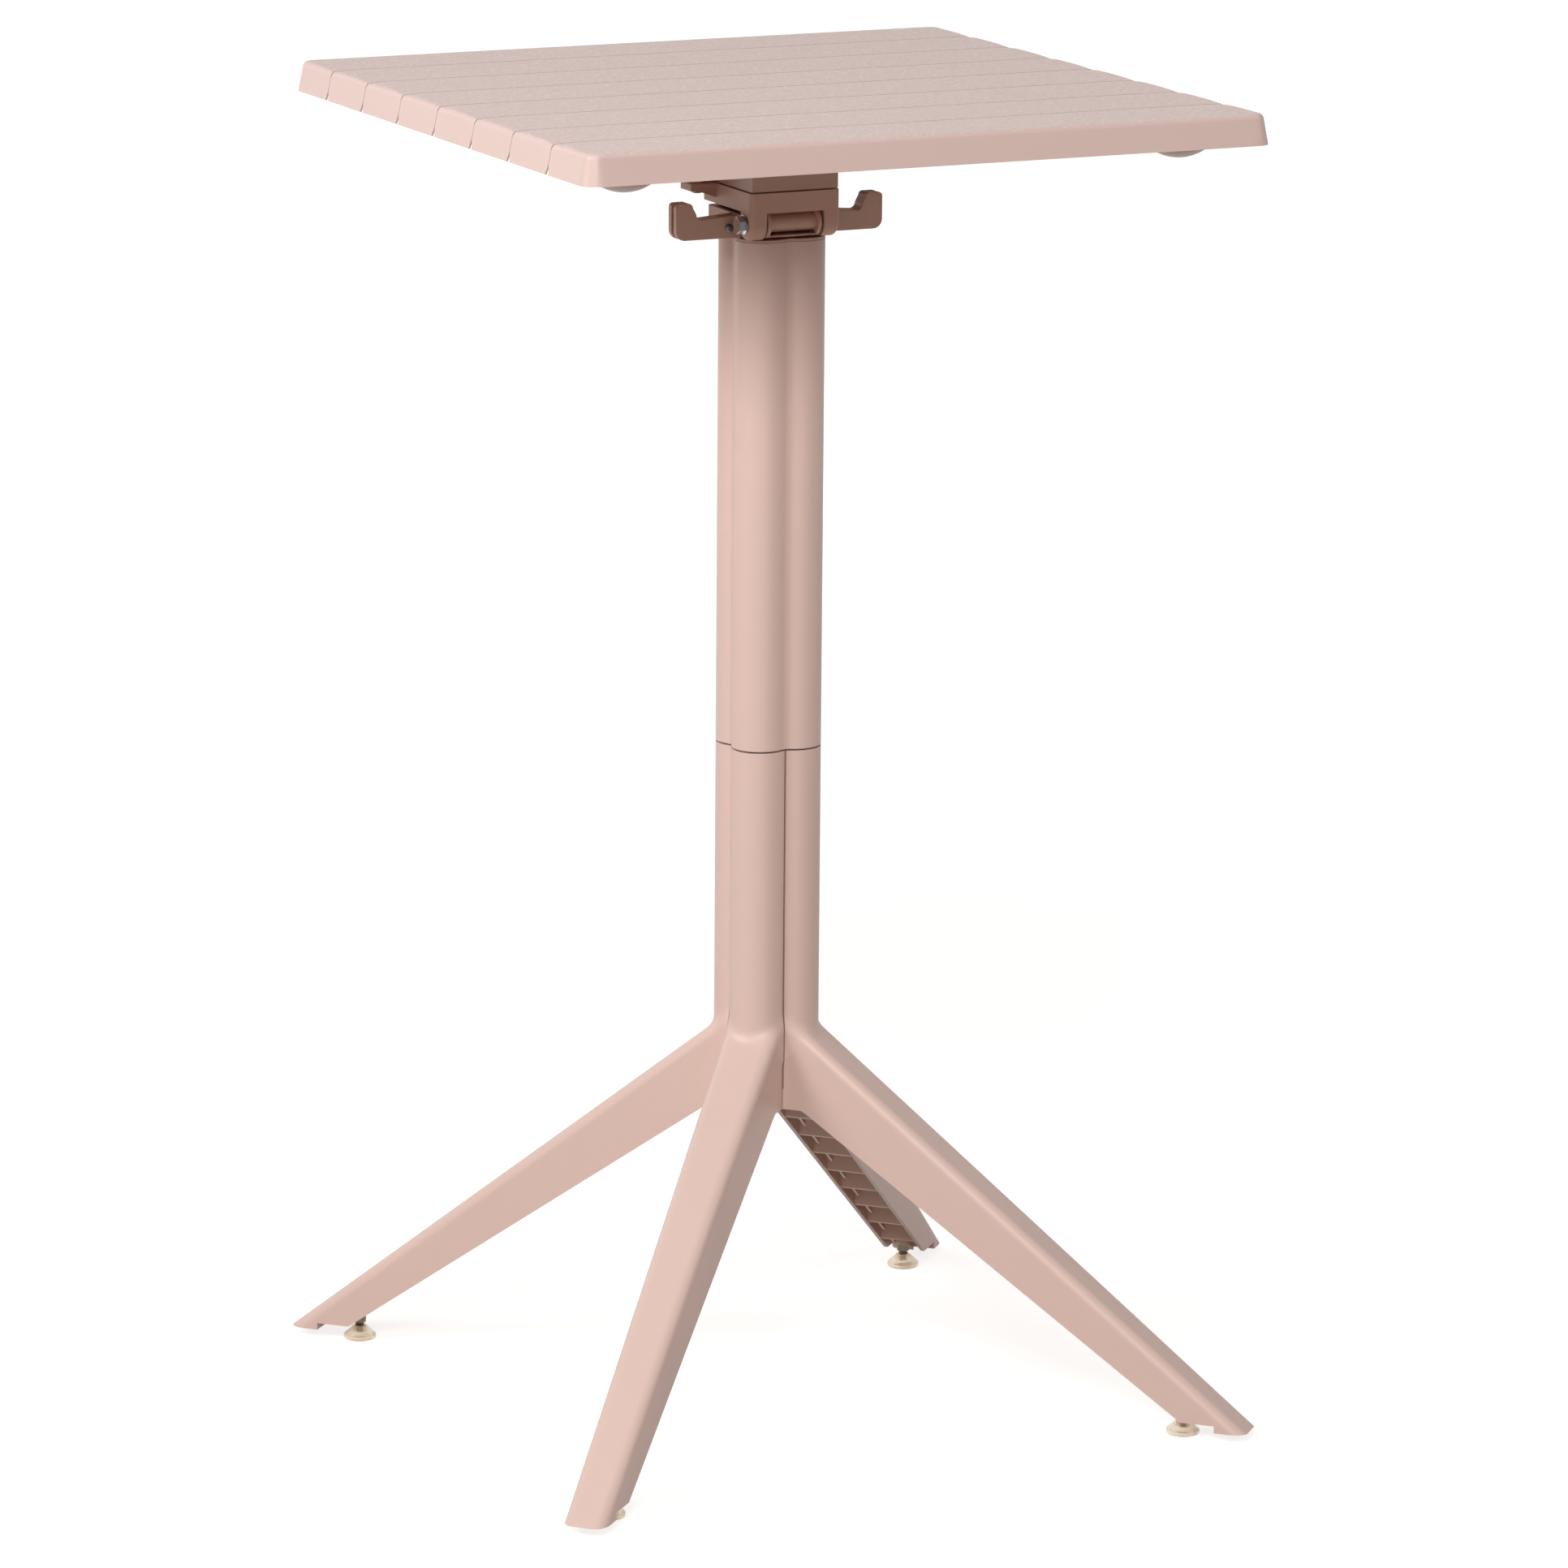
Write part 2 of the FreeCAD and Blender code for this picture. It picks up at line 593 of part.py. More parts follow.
def ribs():
    """Square grid of ribs under the deck: inner ones beside the hub, outer ones through the corner bosses."""
    inner = "(top_side - 2 * rim_wall)"
    depth = "rib_depth + deck_thickness / 2"
    made = []
    for middle in (f"-{DOME}", "-rib_offset", "rib_offset", DOME):
        across = f"{middle} - rib_thickness / 2"
        made.append(box("rib", inner, "rib_thickness", depth, f"-{inner} / 2", across, RIB_FOOT))
        made.append(box("rib", "rib_thickness", inner, depth, across, f"-{inner} / 2", RIB_FOOT))
    return made


def corner_bosses():
    """Shallow bowls under the corners, each on a post from the deck."""
    made = []
    bottom = f"({RIM_FOOT} - dome_drop)"
    top = f"({RIB_FOOT} + dome_wall)"
    deep = f"({top} - {bottom})"
    outer = f"(dome_radius^2 + {deep}^2) / (2 * {deep})"
    for along in (-1, 1):
        for across in (-1, 1):
            bowl = make_body("corner_boss")
            revolve(bowl, (
                ("0", bottom, outer, "left"), ("dome_radius", top),
                ("dome_post", top), ("dome_post", f"{bottom} + dome_wall"), ("0", f"{bottom} + dome_wall"),
            ))
            place(bowl, f"{along} * {DOME}", f"{across} * {DOME}")
            foot = f"({bottom} + dome_wall / 2)"
            post = cylinder("corner_post", "dome_post", f"{DECK_FOOT} + deck_thickness / 2 - {foot}",
                            f"{along} * {DOME}", f"{across} * {DOME}", foot)
            made += [bowl, post]
    return made


def hub():
    """Hollow block that the bracket is screwed to, with its bosses and gussets."""
    depth = f"({DECK_FOOT} + deck_thickness / 2 - {HUB_FOOT})"
    foot = f"({HUB_FOOT} + parting_gap)"
    height = f"({depth} - parting_gap)"
    half = "(bracket_width / 2 - hub_inset)"
    front = f"({HUB_FRONT} + hub_inset)"
    length = f"(hub_back - {front})"
    outer = box("hub", f"2 * {half}", length, height, f"-{half}", front, foot)
    inner = box("hub_room", f"2 * ({half} - hub_wall)", f"{length} - 2 * hub_wall", height,
                f"hub_wall - {half}", f"{front} + hub_wall", foot)
    made = [cut("hub_walls", outer, inner)]
    made.append(box("wing_web", "2 * wing_screw", "rib_thickness", height, "-wing_screw",
                    "wing_back - rib_thickness / 2", foot))
    for side in (-1, 1):
        made.append(cylinder("wing_boss", "screw_boss", depth, f"{side} * wing_screw", "wing_back", HUB_FOOT))
        made.append(cylinder("roof_boss", "screw_boss", depth, f"{side} * roof_screw", "-roof_screw_back",
                             HUB_FOOT))
    made.append(box("roof_web", f"2 * {half}", "rib_thickness", height, f"-{half}",
                    "-roof_screw_back - rib_thickness / 2", foot))
    reach = "(sqrt(2) * gusset_reach)"
    start = "(sqrt(2) * (bracket_width / 2 - hub_wall))"
    root = f"({DECK_FOOT} + deck_thickness / 2)"
    outline = ((start, f"{HUB_FOOT} + gusset_foot"), (reach, RIB_FOOT), (reach, root), (start, root))
    for angle in QUARTERS.values():
        gusset = make_body("gusset")
        pad(gusset, draw(gusset, "XZ", outline), "gusset_thickness", symmetric=True)
        gusset.Placement = Placement(Vector(), Rotation(Vector(0, 0, 1), angle))
        made.append(gusset)
    return made


def screw_places():
    """Bracket screws: x, y and the seat of the head."""
    spots = []
    for side in (-1, 1):
        spots.append((f"{side} * wing_screw", "wing_back", f"({HUB_FOOT} - wing_thickness)"))
        spots.append((f"{side} * roof_screw", "-roof_screw_back", ROOF_FOOT))
    return spots


def table_top():
    planks = rim_block("planks", "0", "rim_height", "edge_round")
    crown_planks(planks)
    slotted = cut("slotted_planks", planks, fuse("grooves", grooves()))
    core = rim_block("plank_core", "groove_depth", "(rim_height - plank_crown - groove_depth)",
                     "(edge_round - groove_depth)")
    block = fuse("grooved_block", [slotted, core])
    room = make_body("underside")
    outline = draw(room, "XY", rounded_outline("(top_side / 2 - rim_wall)", "(rim_corner - rim_wall)"),
                   lift=RIM_FOOT)
    pad(room, outline, "rim_height - deck_thickness", draft="-rim_draft")
    shell = cut("deck_shell", block, room)
    stiffened = fuse("stiffened_deck", [shell] + ribs() + corner_bosses() + hub())
    openings = notches() + reliefs()
    for x, y, seat in screw_places():
        depth = f"{seat} + screw_length + screw_room - {HUB_FOOT}"
        openings.append(cylinder("screw_hole", "screw_radius + screw_play", depth, x, y, HUB_FOOT))
    whole = cut("table_top", stiffened, fuse("deck_openings", openings))
    whole.Label = "table_top"
    return whole


# Tilt bracket and its fasteners


def tilt_bracket():
    """Forked bracket under the top: two ears on the pin, a stop behind and lugs for the latch."""
    bracket = make_body("tilt_bracket")
    front = HUB_FRONT
    ear_rear = "(ear_back - pivot_forward)"
    ear_foot = f"({PIVOT} - sqrt(bracket_front^2 - ear_back^2))"
    side = (
        ("bracket_back", HUB_FOOT), (front, HUB_FOOT), (front, PIVOT, "bracket_front", "left"),
        (ear_rear, ear_foot), (ear_rear, SKIRT), ("bracket_back", SKIRT),
    )
    block = pad(bracket, draw(bracket, "YZ", side), "bracket_width", symmetric=True)
    outer = value("bracket_width / 2")
    ends = (value(front), value(ear_rear))

    def rounded(edge):
        """Front corners and the whole outer edge of each ear."""
        if not (on_edge(edge, x=outer) or on_edge(edge, x=-outer)):
            return False
        return any(on_edge(edge, y=end) for end in ends) or isinstance(edge.Curve, Part.Circle)

    fillet(bracket, block, "bracket_edge", rounded)
    rear_bar = "(bracket_back - bracket_rear)"
    low = f"({PIVOT} - 2 * bracket_front)"
    window = (
        (f"{front} - bracket_bar", low), (rear_bar, low), (rear_bar, ROOF_FOOT),
        (f"{front} + bracket_bar", ROOF_FOOT), (f"{front} + bracket_bar", SKIRT),
        (f"{front} - bracket_bar", SKIRT),
    )
    pocket(bracket, draw(bracket, "YZ", window), f"2 * {EAR_INNER}", symmetric=True)
    wide = box_outline(f"{ear_rear} + bracket_wall", low, rear_bar, ROOF_FOOT)
    pocket(bracket, draw(bracket, "YZ", wide), "bracket_width - 2 * bracket_wall", symmetric=True)
    stop = box_outline(rear_bar, f"{HEAD_TOP} + stop_gap", "bracket_back", ROOF_FOOT)
    pad(bracket, draw(bracket, "YZ", stop), "stop_width", symmetric=True)
    wings = box_outline("-wing_reach", "wing_back - wing_width / 2",
                        "wing_reach", "wing_back + wing_width / 2")
    low_wing = f"({HUB_FOOT} - wing_thickness)"
    pad(bracket, draw(bracket, "XY", wings, lift=low_wing), "wing_thickness")
    wall = "(bracket_width / 2 - bracket_wall)"
    web = ((wall, low_wing), (wall, f"{low_wing} - wing_web_drop"), ("wing_web_reach", low_wing))
    web_front = "-(wing_back - wing_width / 2 + wing_web)"
    for corners in (web, mirrored(web)):
        pad(bracket, draw(bracket, "XZ", corners, lift=web_front), "wing_web")
    inner_lug = "(latch_width / 2 + latch_side_play)"
    outer_lug = f"({inner_lug} + latch_lug)"
    tail_end = "(latch_back + latch_lug_radius)"
    tail = box_outline(rear_bar, ROOF_FOOT, tail_end, HUB_FOOT)
    pad(bracket, draw(bracket, "YZ", tail), f"2 * {outer_lug}", symmetric=True)
    lug = (
        (tail_end, ROOF_FOOT), ("latch_back - latch_lug_radius", ROOF_FOOT),
        ("latch_back - latch_lug_radius", LATCH, "latch_lug_radius", "left"),
        ("latch_back", f"{LATCH} - latch_lug_radius", "latch_lug_radius", "left"), (tail_end, LATCH),
    )
    for lift in (f"-{outer_lug}", inner_lug):
        pad(bracket, draw(bracket, "YZ", lug, lift=lift), "latch_lug")
    bores = (("-pivot_forward", PIVOT, "pivot_radius + pivot_play"),
             ("latch_back", LATCH, "latch_pin_radius + latch_pin_play"))
    pocket(bracket, draw(bracket, "YZ", *bores), "2 * bracket_width", symmetric=True)
    recess = ("-pivot_forward", PIVOT, "washer_radius + nut_room")
    pocket(bracket, draw(bracket, "YZ", recess, lift="bracket_width / 2"), "nut_sink")
    holes = [(x, y, "screw_radius + screw_play") for x, y, _ in screw_places()]
    pocket(bracket, draw(bracket, "XY", *holes, lift=HUB_FOOT), "2 * bracket_roof")
    return bracket


def bracket_screws():
    """Pan head screws from below, two through the wings and two through the roof."""
    made = []
    for x, y, seat in screw_places():
        screw = make_body("bracket_screw")
        revolve(screw, (
            ("0", "-screw_head_height"), ("screw_head - screw_bevel", "-screw_head_height"),
            ("screw_head", "screw_bevel - screw_head_height"), ("screw_head", "0"), ("screw_radius", "0"),
            ("screw_radius", "screw_length"), ("0", "screw_length"),
        ))
        made.append(place(screw, x, y, seat))
    return group("bracket_screws", made)


def pivot_bolt():
    """Hexagon bolt along the tilt pin, head at the left ear."""
    bolt = make_body("pivot_bolt")
    pad(bolt, draw(bolt, "XY", hexagon_outline("bolt_flats")), "bolt_head", backwards=True)
    shank = "bracket_width + 2 * washer_thickness + bolt_tail - nut_sink"
    pad(bolt, draw(bolt, "XY", ("0", "0", "pivot_radius")), shank)
    return lie_along_x(bolt, "-bracket_width / 2 - washer_thickness", "-pivot_forward", PIVOT)


def pivot_nut():
    """Lock nut with a round collar, in the recess of the right ear."""
    nut = make_body("pivot_nut")
    thread = ("0", "0", "pivot_radius + thread_play")
    pad(nut, draw(nut, "XY", hexagon_outline("bolt_flats"), thread), "nut_height")
    pad(nut, draw(nut, "XY", ("0", "0", "nut_collar"), thread, lift="nut_height"), "nut_collar_height")
    return lie_along_x(nut, "bracket_width / 2 + washer_thickness - nut_sink", "-pivot_forward", PIVOT)


def ring(label, outer, inner, height):
    """Flat ring on the XY plane."""
    item = make_body(label)
    pad(item, draw(item, "XY", ("0", "0", outer), ("0", "0", inner)), height)
    return item


def pivot_washers():
    left = ring("pivot_washer", "washer_radius", "pivot_radius + pivot_play", "washer_thickness")
    lie_along_x(left, "-bracket_width / 2 - washer_thickness", "-pivot_forward", PIVOT)
    right = ring("pivot_washer", "washer_radius", "pivot_radius + pivot_play", "washer_thickness")
    lie_along_x(right, "bracket_width / 2 - nut_sink", "-pivot_forward", PIVOT)
    return group("pivot_washers", [left, right])


def friction_washers():
    """Washers between the ears and the barrel, which keep the top where it is set."""
    bore = "pivot_radius + pivot_play"
    left = ring("friction_washer", "friction_radius", bore, "friction_thickness")
    lie_along_x(left, f"-{KNUCKLE_SIDE} - friction_play - friction_thickness", "-pivot_forward", PIVOT)
    right = ring("friction_washer", "friction_radius", bore, "friction_thickness")
    lie_along_x(right, f"{KNUCKLE_SIDE} + friction_play", "-pivot_forward", PIVOT)
    return group("friction_washers", [left, right])


# Latch


def latch_lever():
    """Hooked lever with a finger handle, drawn about its pin and turned open."""
    lever = make_body("latch_lever")
    toe = f"({LATCH_DROP} + latch_nose_depth)"
    outline = (
        ("-latch_nose", f"-{LATCH_DROP}"), ("-latch_nose", f"-{LATCH_DROP} - latch_nose_edge"),
        ("-latch_arm / 2", f"-{toe}"), ("latch_arm / 2", f"-{toe}"),
        ("latch_arm / 2", "-latch_barrel"),
        ("latch_handle - latch_grip_round", "-latch_barrel", "latch_grip_round", "left"),
        ("latch_handle", "latch_grip_round - latch_barrel"), ("latch_handle", "0"),
        ("latch_barrel", "0", "latch_barrel", "left"),
        ("0", "latch_barrel", "latch_barrel", "left"), ("-latch_barrel", "0"),
        ("-latch_arm / 2", "-latch_barrel"), ("-latch_arm / 2", f"-{LATCH_DROP}"),
    )
    pad(lever, draw(lever, "YZ", outline), "latch_width", symmetric=True)
    hole = ("0", "0", "latch_pin_radius + latch_pin_play")
    pocket(lever, draw(lever, "YZ", hole), "2 * latch_width", symmetric=True)
    opened = f"placement(vector(0; latch_back; {LATCH}); rotation(vector(1; 0; 0); latch_open))"
    return bind(lever, Placement=opened)


def latch_pin():
    pin = make_body("latch_pin")
    half = "(latch_width / 2 + latch_side_play + latch_lug)"
    pad(pin, draw(pin, "XY", ("0", "0", "latch_pin_radius")), f"2 * {half}")
    return lie_along_x(pin, f"-{half}", "latch_back", LATCH)


# Column head, hooks


def column_head():
    """Head on the column: a cored block with the barrel of the tilt pin and the lugs of the hooks."""
    head = make_body("column_head")
    front = "(bracket_front + head_play - pivot_forward)"
    block = pad(head, draw(head, "YZ", box_outline(front, COLUMN_TOP, "bracket_back", HEAD_TOP)),
                "head_width", symmetric=True)
    rear = value("bracket_back")
    half = value("head_width / 2")
    fillet(head, block, "head_corner",
           lambda edge: on_edge(edge, y=rear, x=half) or on_edge(edge, y=rear, x=-half))
    pad(head, draw(head, "XY", lobed_outline(), lift=COLUMN_TOP), "head_flange")
    pivot_y = "(-pivot_forward)"
    barrel = (
        (f"{front} + head_wall", f"{PIVOT} - knuckle_radius"), (f"{front} + head_wall", HEAD_TOP),
        (pivot_y, f"{PIVOT} + knuckle_radius", "knuckle_radius", "left"),
        (f"{pivot_y} - knuckle_radius", PIVOT, "knuckle_radius", "left"),
        (pivot_y, f"{PIVOT} - knuckle_radius"),
    )
    pad(head, draw(head, "YZ", barrel), f"2 * {KNUCKLE_SIDE}", symmetric=True)
    scoop = box_outline(f"{pivot_y} - 2 * knuckle_radius", f"{PIVOT} - knuckle_radius + knuckle_lip",
                        front, f"{PIVOT} + knuckle_radius - knuckle_roof")
    tube = (pivot_y, PIVOT, "knuckle_tube")
    pocket(head, draw(head, "YZ", scoop, tube), f"2 * ({KNUCKLE_SIDE} - knuckle_wall)", symmetric=True)
    lugs = box_outline("-hook_middle - lug_thickness / 2", f"{LUG_MIDDLE} - lug_depth / 2",
                       "-hook_middle + lug_thickness / 2", f"{LUG_MIDDLE} + lug_depth / 2")
    pad(head, draw(head, "YZ", lugs), "2 * lug_reach", symmetric=True)
    catch = (
        ("bracket_back - head_wall", CATCH_FOOT), ("bracket_back + catch_reach", CATCH_FOOT),
        ("bracket_back + catch_reach", f"{CATCH_FOOT} + catch_depth / 2"),
        ("bracket_back - head_wall", f"{CATCH_FOOT} + catch_depth"),
    )
    pad(head, draw(head, "YZ", catch), "catch_width", symmetric=True)
    sleeve = f"({VALLEY_ROOT} - sleeve_play)"
    rings = (("0", "0", sleeve), ("0", "0", f"{sleeve} - head_wall"))
    pad(head, draw(head, "XY", *rings, lift=f"{COLUMN_TOP} - head_sleeve"), "head_sleeve")
    bore = (pivot_y, PIVOT, "pivot_radius + pivot_play")
    pocket(head, draw(head, "YZ", bore), "head_width", symmetric=True)
    screws = [(f"{side} * hook_screw_out", LUG_MIDDLE, "hook_screw_radius + screw_play") for side in (-1, 1)]
    pocket(head, draw(head, "XZ", *screws, lift="hook_middle"), "2 * lug_thickness", symmetric=True)
    seat = "(rod_washer_radius + rod_seat_play)"
    pocket(head, draw(head, "XY", ("0", "0", seat), lift=HEAD_TOP), f"{HEAD_TOP} - {NUT_SEAT}")
    inner = f"({seat} + head_wall)"
    outer = "(head_width / 2 - head_wall)"
    cores = []
    for side in (-1, 1):
        near, far = (inner, outer) if side > 0 else (f"-{outer}", f"-{inner}")
        cores.append(box_outline(near, f"{front} + head_wall", far, "bracket_back - 2 * head_corner"))
    pocket(head, draw(head, "XY", *cores, lift=HEAD_TOP), "head_pocket")
    rod = ("0", "0", "rod_radius + rod_play")
    pocket(head, draw(head, "XY", rod, lift=HEAD_TOP), "2 * head_sleeve + head_width")
    return head


def mirrored(corners):
    """Outline reflected in the vertical axis."""
    turns = {"left": "right", "right": "left"}
    return tuple((f"-({c[0]})", c[1]) if len(c) == 2 else (f"-({c[0]})", c[1], c[2], turns[c[3]])
                 for c in corners)


def bag_hook(label, side):
    """Upturned hook, slotted at its root for the lug and at its end."""
    hook = make_body(label)
    root = "(head_width / 2)"
    top = f"({HOOK_FOOT} + hook_tip)"
    arm = f"({HOOK_FOOT} + hook_arm)"
    inside = "(hook_reach - hook_tip_width)"
    throat = f"({inside} - hook_lean)"
    outline = (
        (root, HOOK_FOOT), ("hook_reach - hook_heel", HOOK_FOOT, "hook_heel", "left"),
        ("hook_reach", f"{HOOK_FOOT} + hook_heel"),
        ("hook_reach", f"{top} - hook_nose", "hook_nose", "left"), ("hook_reach - hook_nose", top),
        (f"{inside} + hook_nose", top, "hook_nose", "left"), (inside, f"{top} - hook_nose"),
        (throat, f"{arm} + hook_throat", "hook_throat", "right"), (f"{throat} - hook_throat", arm),
        (root, f"{arm} + hook_root"),
    )
    slot_end = "(lug_reach + lug_end_play)"
    half_lug = "(lug_thickness / 2 + hook_play)"
    slots = (
        box_outline(f"{root} - hook_slot", f"-hook_middle - {half_lug}",
                    slot_end, f"-hook_middle + {half_lug}"),
        box_outline("hook_reach - hook_slot_depth", "-hook_middle - hook_slot / 2", "hook_reach + hook_slot",
                    "-hook_middle + hook_slot / 2"),
    )
    if side < 0:
        outline = mirrored(outline)
        slots = tuple(mirrored(slot) for slot in slots)
    pad(hook, draw(hook, "XZ", outline, lift="hook_middle"), "hook_thickness", symmetric=True)
    pocket(hook, draw(hook, "XY", *slots, lift=top), "2 * hook_tip")
    hole = (f"{side} * hook_screw_out", LUG_MIDDLE, "hook_screw_radius + screw_play")
    pocket(hook, draw(hook, "XZ", hole, lift="hook_middle"), "2 * hook_thickness", symmetric=True)
    return hook


def hook_screws():
    """Cross screws that hold the hooks on their lugs, heads to the front."""
    made = []
    for side in (-1, 1):
        screw = make_body("hook_screw")
        revolve(screw, (
            ("0", "0"), ("hook_screw_radius", "0"), ("hook_screw_radius", "hook_thickness"),
            ("hook_screw_head", "hook_thickness"),
            ("hook_screw_head", "hook_thickness + hook_screw_head_height / 2"),
            ("hook_screw_head - hook_screw_head_height / 2", "hook_thickness + hook_screw_head_height"),
            ("0", "hook_thickness + hook_screw_head_height"),
        ))
        x = f"{side} * hook_screw_out"
        turned = "rotation(vector(1; 0; 0); 90)"
        spot = f"vector({x}; hook_thickness / 2 - hook_middle; {LUG_MIDDLE})"
        made.append(bind(screw, Placement=f"placement({spot}; {turned})"))
    return group("hook_screws", made)


# Column


def upper_column():
    column = make_body("upper_column")
    pad(column, draw(column, "XY", lobed_outline(), lobed_outline("column_wall"), lift=COLUMN_FOOT),
        "column_length")
    return column


def joining_collar():
    """Plate between legs and column, with a sleeve into each."""
    collar = make_body("joining_collar")
    bore = ("0", "0", "tube_radius + tube_play")
    pad(collar, draw(collar, "XY", lobed_outline("seam_inset"), bore, lift="leg_height"), "seam_gap")
    upper = ("0", "0", f"{VALLEY_ROOT} - sleeve_play")
    pad(collar, draw(collar, "XY", upper, bore, lift="leg_height"), "seam_gap + collar_sleeve")
    lower = ("0", "0", f"{SHANK_ROOT} - sleeve_play")
    pad(collar, draw(collar, "XY", lower, bore, lift="leg_height + seam_gap"), "seam_gap + collar_sleeve",
        backwards=True)
    return collar


def core_tube():
    tube = ring("core_tube", "tube_radius", "tube_radius - tube_wall", "tube_length")
    return place(tube, z=FLOOR_TOP)


def core_cap():
    """Plug that centres the tube in the column and the rod in the tube."""
    cap = make_body("core_cap")
    rod = "rod_radius + rod_play"
    inside = "tube_radius - tube_wall - tube_play"
    revolve(cap, (
        (rod, "-cap_spigot"), (inside, "-cap_spigot"), (inside, "0"),
        (f"{VALLEY_ROOT} - sleeve_play", "0"), (f"{VALLEY_ROOT} - sleeve_play", "cap_height"),
        (rod, "cap_height"),
    ))
    return place(cap, z=TUBE_TOP)


def tie_rod():
    """Rod that clamps the head, the column and the legs together."""
    rod = make_body("tie_rod")
    top = f"({NUT_SEAT} + rod_washer_thickness + rod_nut_height + rod_tail)"
    pad(rod, draw(rod, "XY", ("0", "0", "rod_radius"), lift="leg_crotch"), f"{top} - leg_crotch")
    return rod


def tie_rod_nuts():
    made = []
    for seat in ("(leg_crotch + rod_tail)", f"({NUT_SEAT} + rod_washer_thickness)"):
        nut = make_body("tie_rod_nut")
        bore = ("0", "0", "rod_radius + thread_play")
        pad(nut, draw(nut, "XY", hexagon_outline("rod_nut_flats"), bore), "rod_nut_height")
        made.append(place(nut, z=seat))
    return group("tie_rod_nuts", made)


def tie_rod_washer():
    washer = ring("tie_rod_washer", "rod_washer_radius", "rod_radius + rod_play", "rod_washer_thickness")
    return place(washer, z=NUT_SEAT)


def clamp_plate():
    plate = ring("clamp_plate", "clamp_radius", "rod_radius + rod_play", "clamp_thickness")
    return place(plate, z=f"{CLAMP_TOP} - clamp_thickness")


# Legs


def flat_sided(first, last):
    """Solid between two outlines whose matching sides are parallel."""
    faces = [Part.Face(Part.makePolygon(ends + ends[:1])) for ends in (first[::-1], last)]
    for i, corner in enumerate(first):
        sides = [first[i - 1], corner, last[i], last[i - 1], first[i - 1]]
        faces.append(Part.Face(Part.makePolygon(sides)))
    return Part.Solid(Part.Shell(faces))


class LegShape:
    """One leg drawn outwards along X, with numbers read from the sheet.

    The shank is a lobe of the column, and the arm leaves it at the knee and runs straight out to the toe.
    """

    def __init__(self):
        self.radius = value("lobe_radius")
        self.crest = value("lobe_offset + lobe_radius")
        self.height = value("leg_height")
        self.depth = 2 * self.crest
        self.tip = value(LEG_TIP)
        slope = math.radians(value("leg_slope"))
        self.knee = Vector(self.crest, 0, value("leg_bend_height"))
        self.run = Vector(math.cos(slope), 0, -math.sin(slope))
        self.inward = Vector(-math.sin(slope), 0, -math.cos(slope))
        self.length = (self.tip - self.crest) / math.cos(slope)
        self.narrowing = (self.radius - value("leg_tip_width / 2")) / self.length

    def crown(self, along, inset):
        """Middle of the crown and half the width of the arm, at a distance from the knee."""
        crest = self.knee + self.run * along + self.inward * inset
        return crest, self.radius - self.narrowing * along - inset

    def box_section(self, along):
        """Corners across the arm."""
        crest, half = self.crown(along, 0)
        side = Vector(0, half, 0)
        foot = crest + self.inward * self.depth
        return [foot + side, crest + side, crest - side, foot - side]

    def room_section(self, along, inset):
        """Corners across the room inside the arm, bevelled below its crown."""
        crest, half = self.crown(along, inset)
        bevel = value("leg_room_bevel")
        side = Vector(0, half, 0)
        flat = Vector(0, half - bevel, 0)
        foot = crest + self.inward * self.depth
        spring = crest + self.inward * bevel
        return [foot + side, spring + side, crest + flat, crest - flat, spring - side, foot - side]

    def envelope(self):
        """Shank and arm as one solid: a round lobe, and a flat crown with rounded shoulders."""
        shank = Part.makeCylinder(self.radius, self.height, Vector(self.crest - self.radius, 0, 0))
        first = self.box_section(-self.crest)
        last = self.box_section(self.length + self.crest)
        block = flat_sided(first, last)
        middle = (first[1] + first[2] + last[1] + last[2]) / 4
        edges = [edge for edge in block.Edges
                 if edge.Length > self.length and (edge.CenterOfMass - middle).Length < self.depth / 2]
        return shank.fuse(block.makeFillet(value("leg_shoulder"), edges))

    def room(self, inset):
        """Room inside shank and arm, flat-sided and open towards the middle of the cluster."""
        half = self.radius - inset
        flat = half * math.tan(math.pi / 8)
        middle = self.crest - self.radius
        corners = [(-self.crest, half), (middle + flat, half), (middle + half, flat), (middle + half, -flat),
                   (middle + flat, -half), (-self.crest, -half)]
        points = [Vector(u, v, 0) for u, v in corners]
        shank = Part.Face(Part.makePolygon(points + points[:1])).extrude(Vector(0, 0, self.height))
        first = self.room_section(-self.crest, inset)
        last = self.room_section(self.length + self.crest, inset)
        return shank.fuse(flat_sided(first, last))

    def prism(self, outline):
        """Solid between a side outline and the leg's full width."""
        half = self.depth
        points = [Vector(u, -half, z) for u, z in outline]
        face = Part.Face(Part.makePolygon(points + points[:1]))
        return face.extrude(Vector(0, 2 * half, 0))

    def underside(self, raised):
        """Side outline above the underside, raised by a little for the ribs."""
        crotch = value("leg_crotch") + raised
        heel = value("leg_heel_height") + raised
        toe = self.tip - value("leg_toe")
        far = self.tip + self.depth
        return [
            (-self.crest, crotch), (value("leg_crotch_end"), crotch),
            (self.tip - value("leg_heel_back"), heel),
            (toe, heel), (toe, value("leg_tip_height")), (far, value("leg_tip_height")),
            (far, self.height), (-self.crest, self.height),
        ]

    def round_crotch(self, solid):
        """Round the edge where the flat of the underside meets its slope."""
        edge_u = value("leg_crotch_end")
        edge_z = value("leg_crotch")
        edges = [edge for edge in solid.Edges if on_edge(edge, x=edge_u, z=edge_z)]
        return solid.makeFillet(value("leg_crotch_round"), edges)

    def wedge(self, slit, foot, head):
        """Quarter of the cluster that one shank may fill, short of its neighbours by half a slit."""
        apex = slit / math.sqrt(2)
        wide = self.depth
        far = self.tip + self.depth
        points = [Vector(apex, 0, foot), Vector(apex + wide, -wide, foot), Vector(far, -wide, foot),
                  Vector(far, wide, foot), Vector(apex + wide, wide, foot)]
        return Part.Face(Part.makePolygon(points + points[:1])).extrude(Vector(0, 0, head - foot))

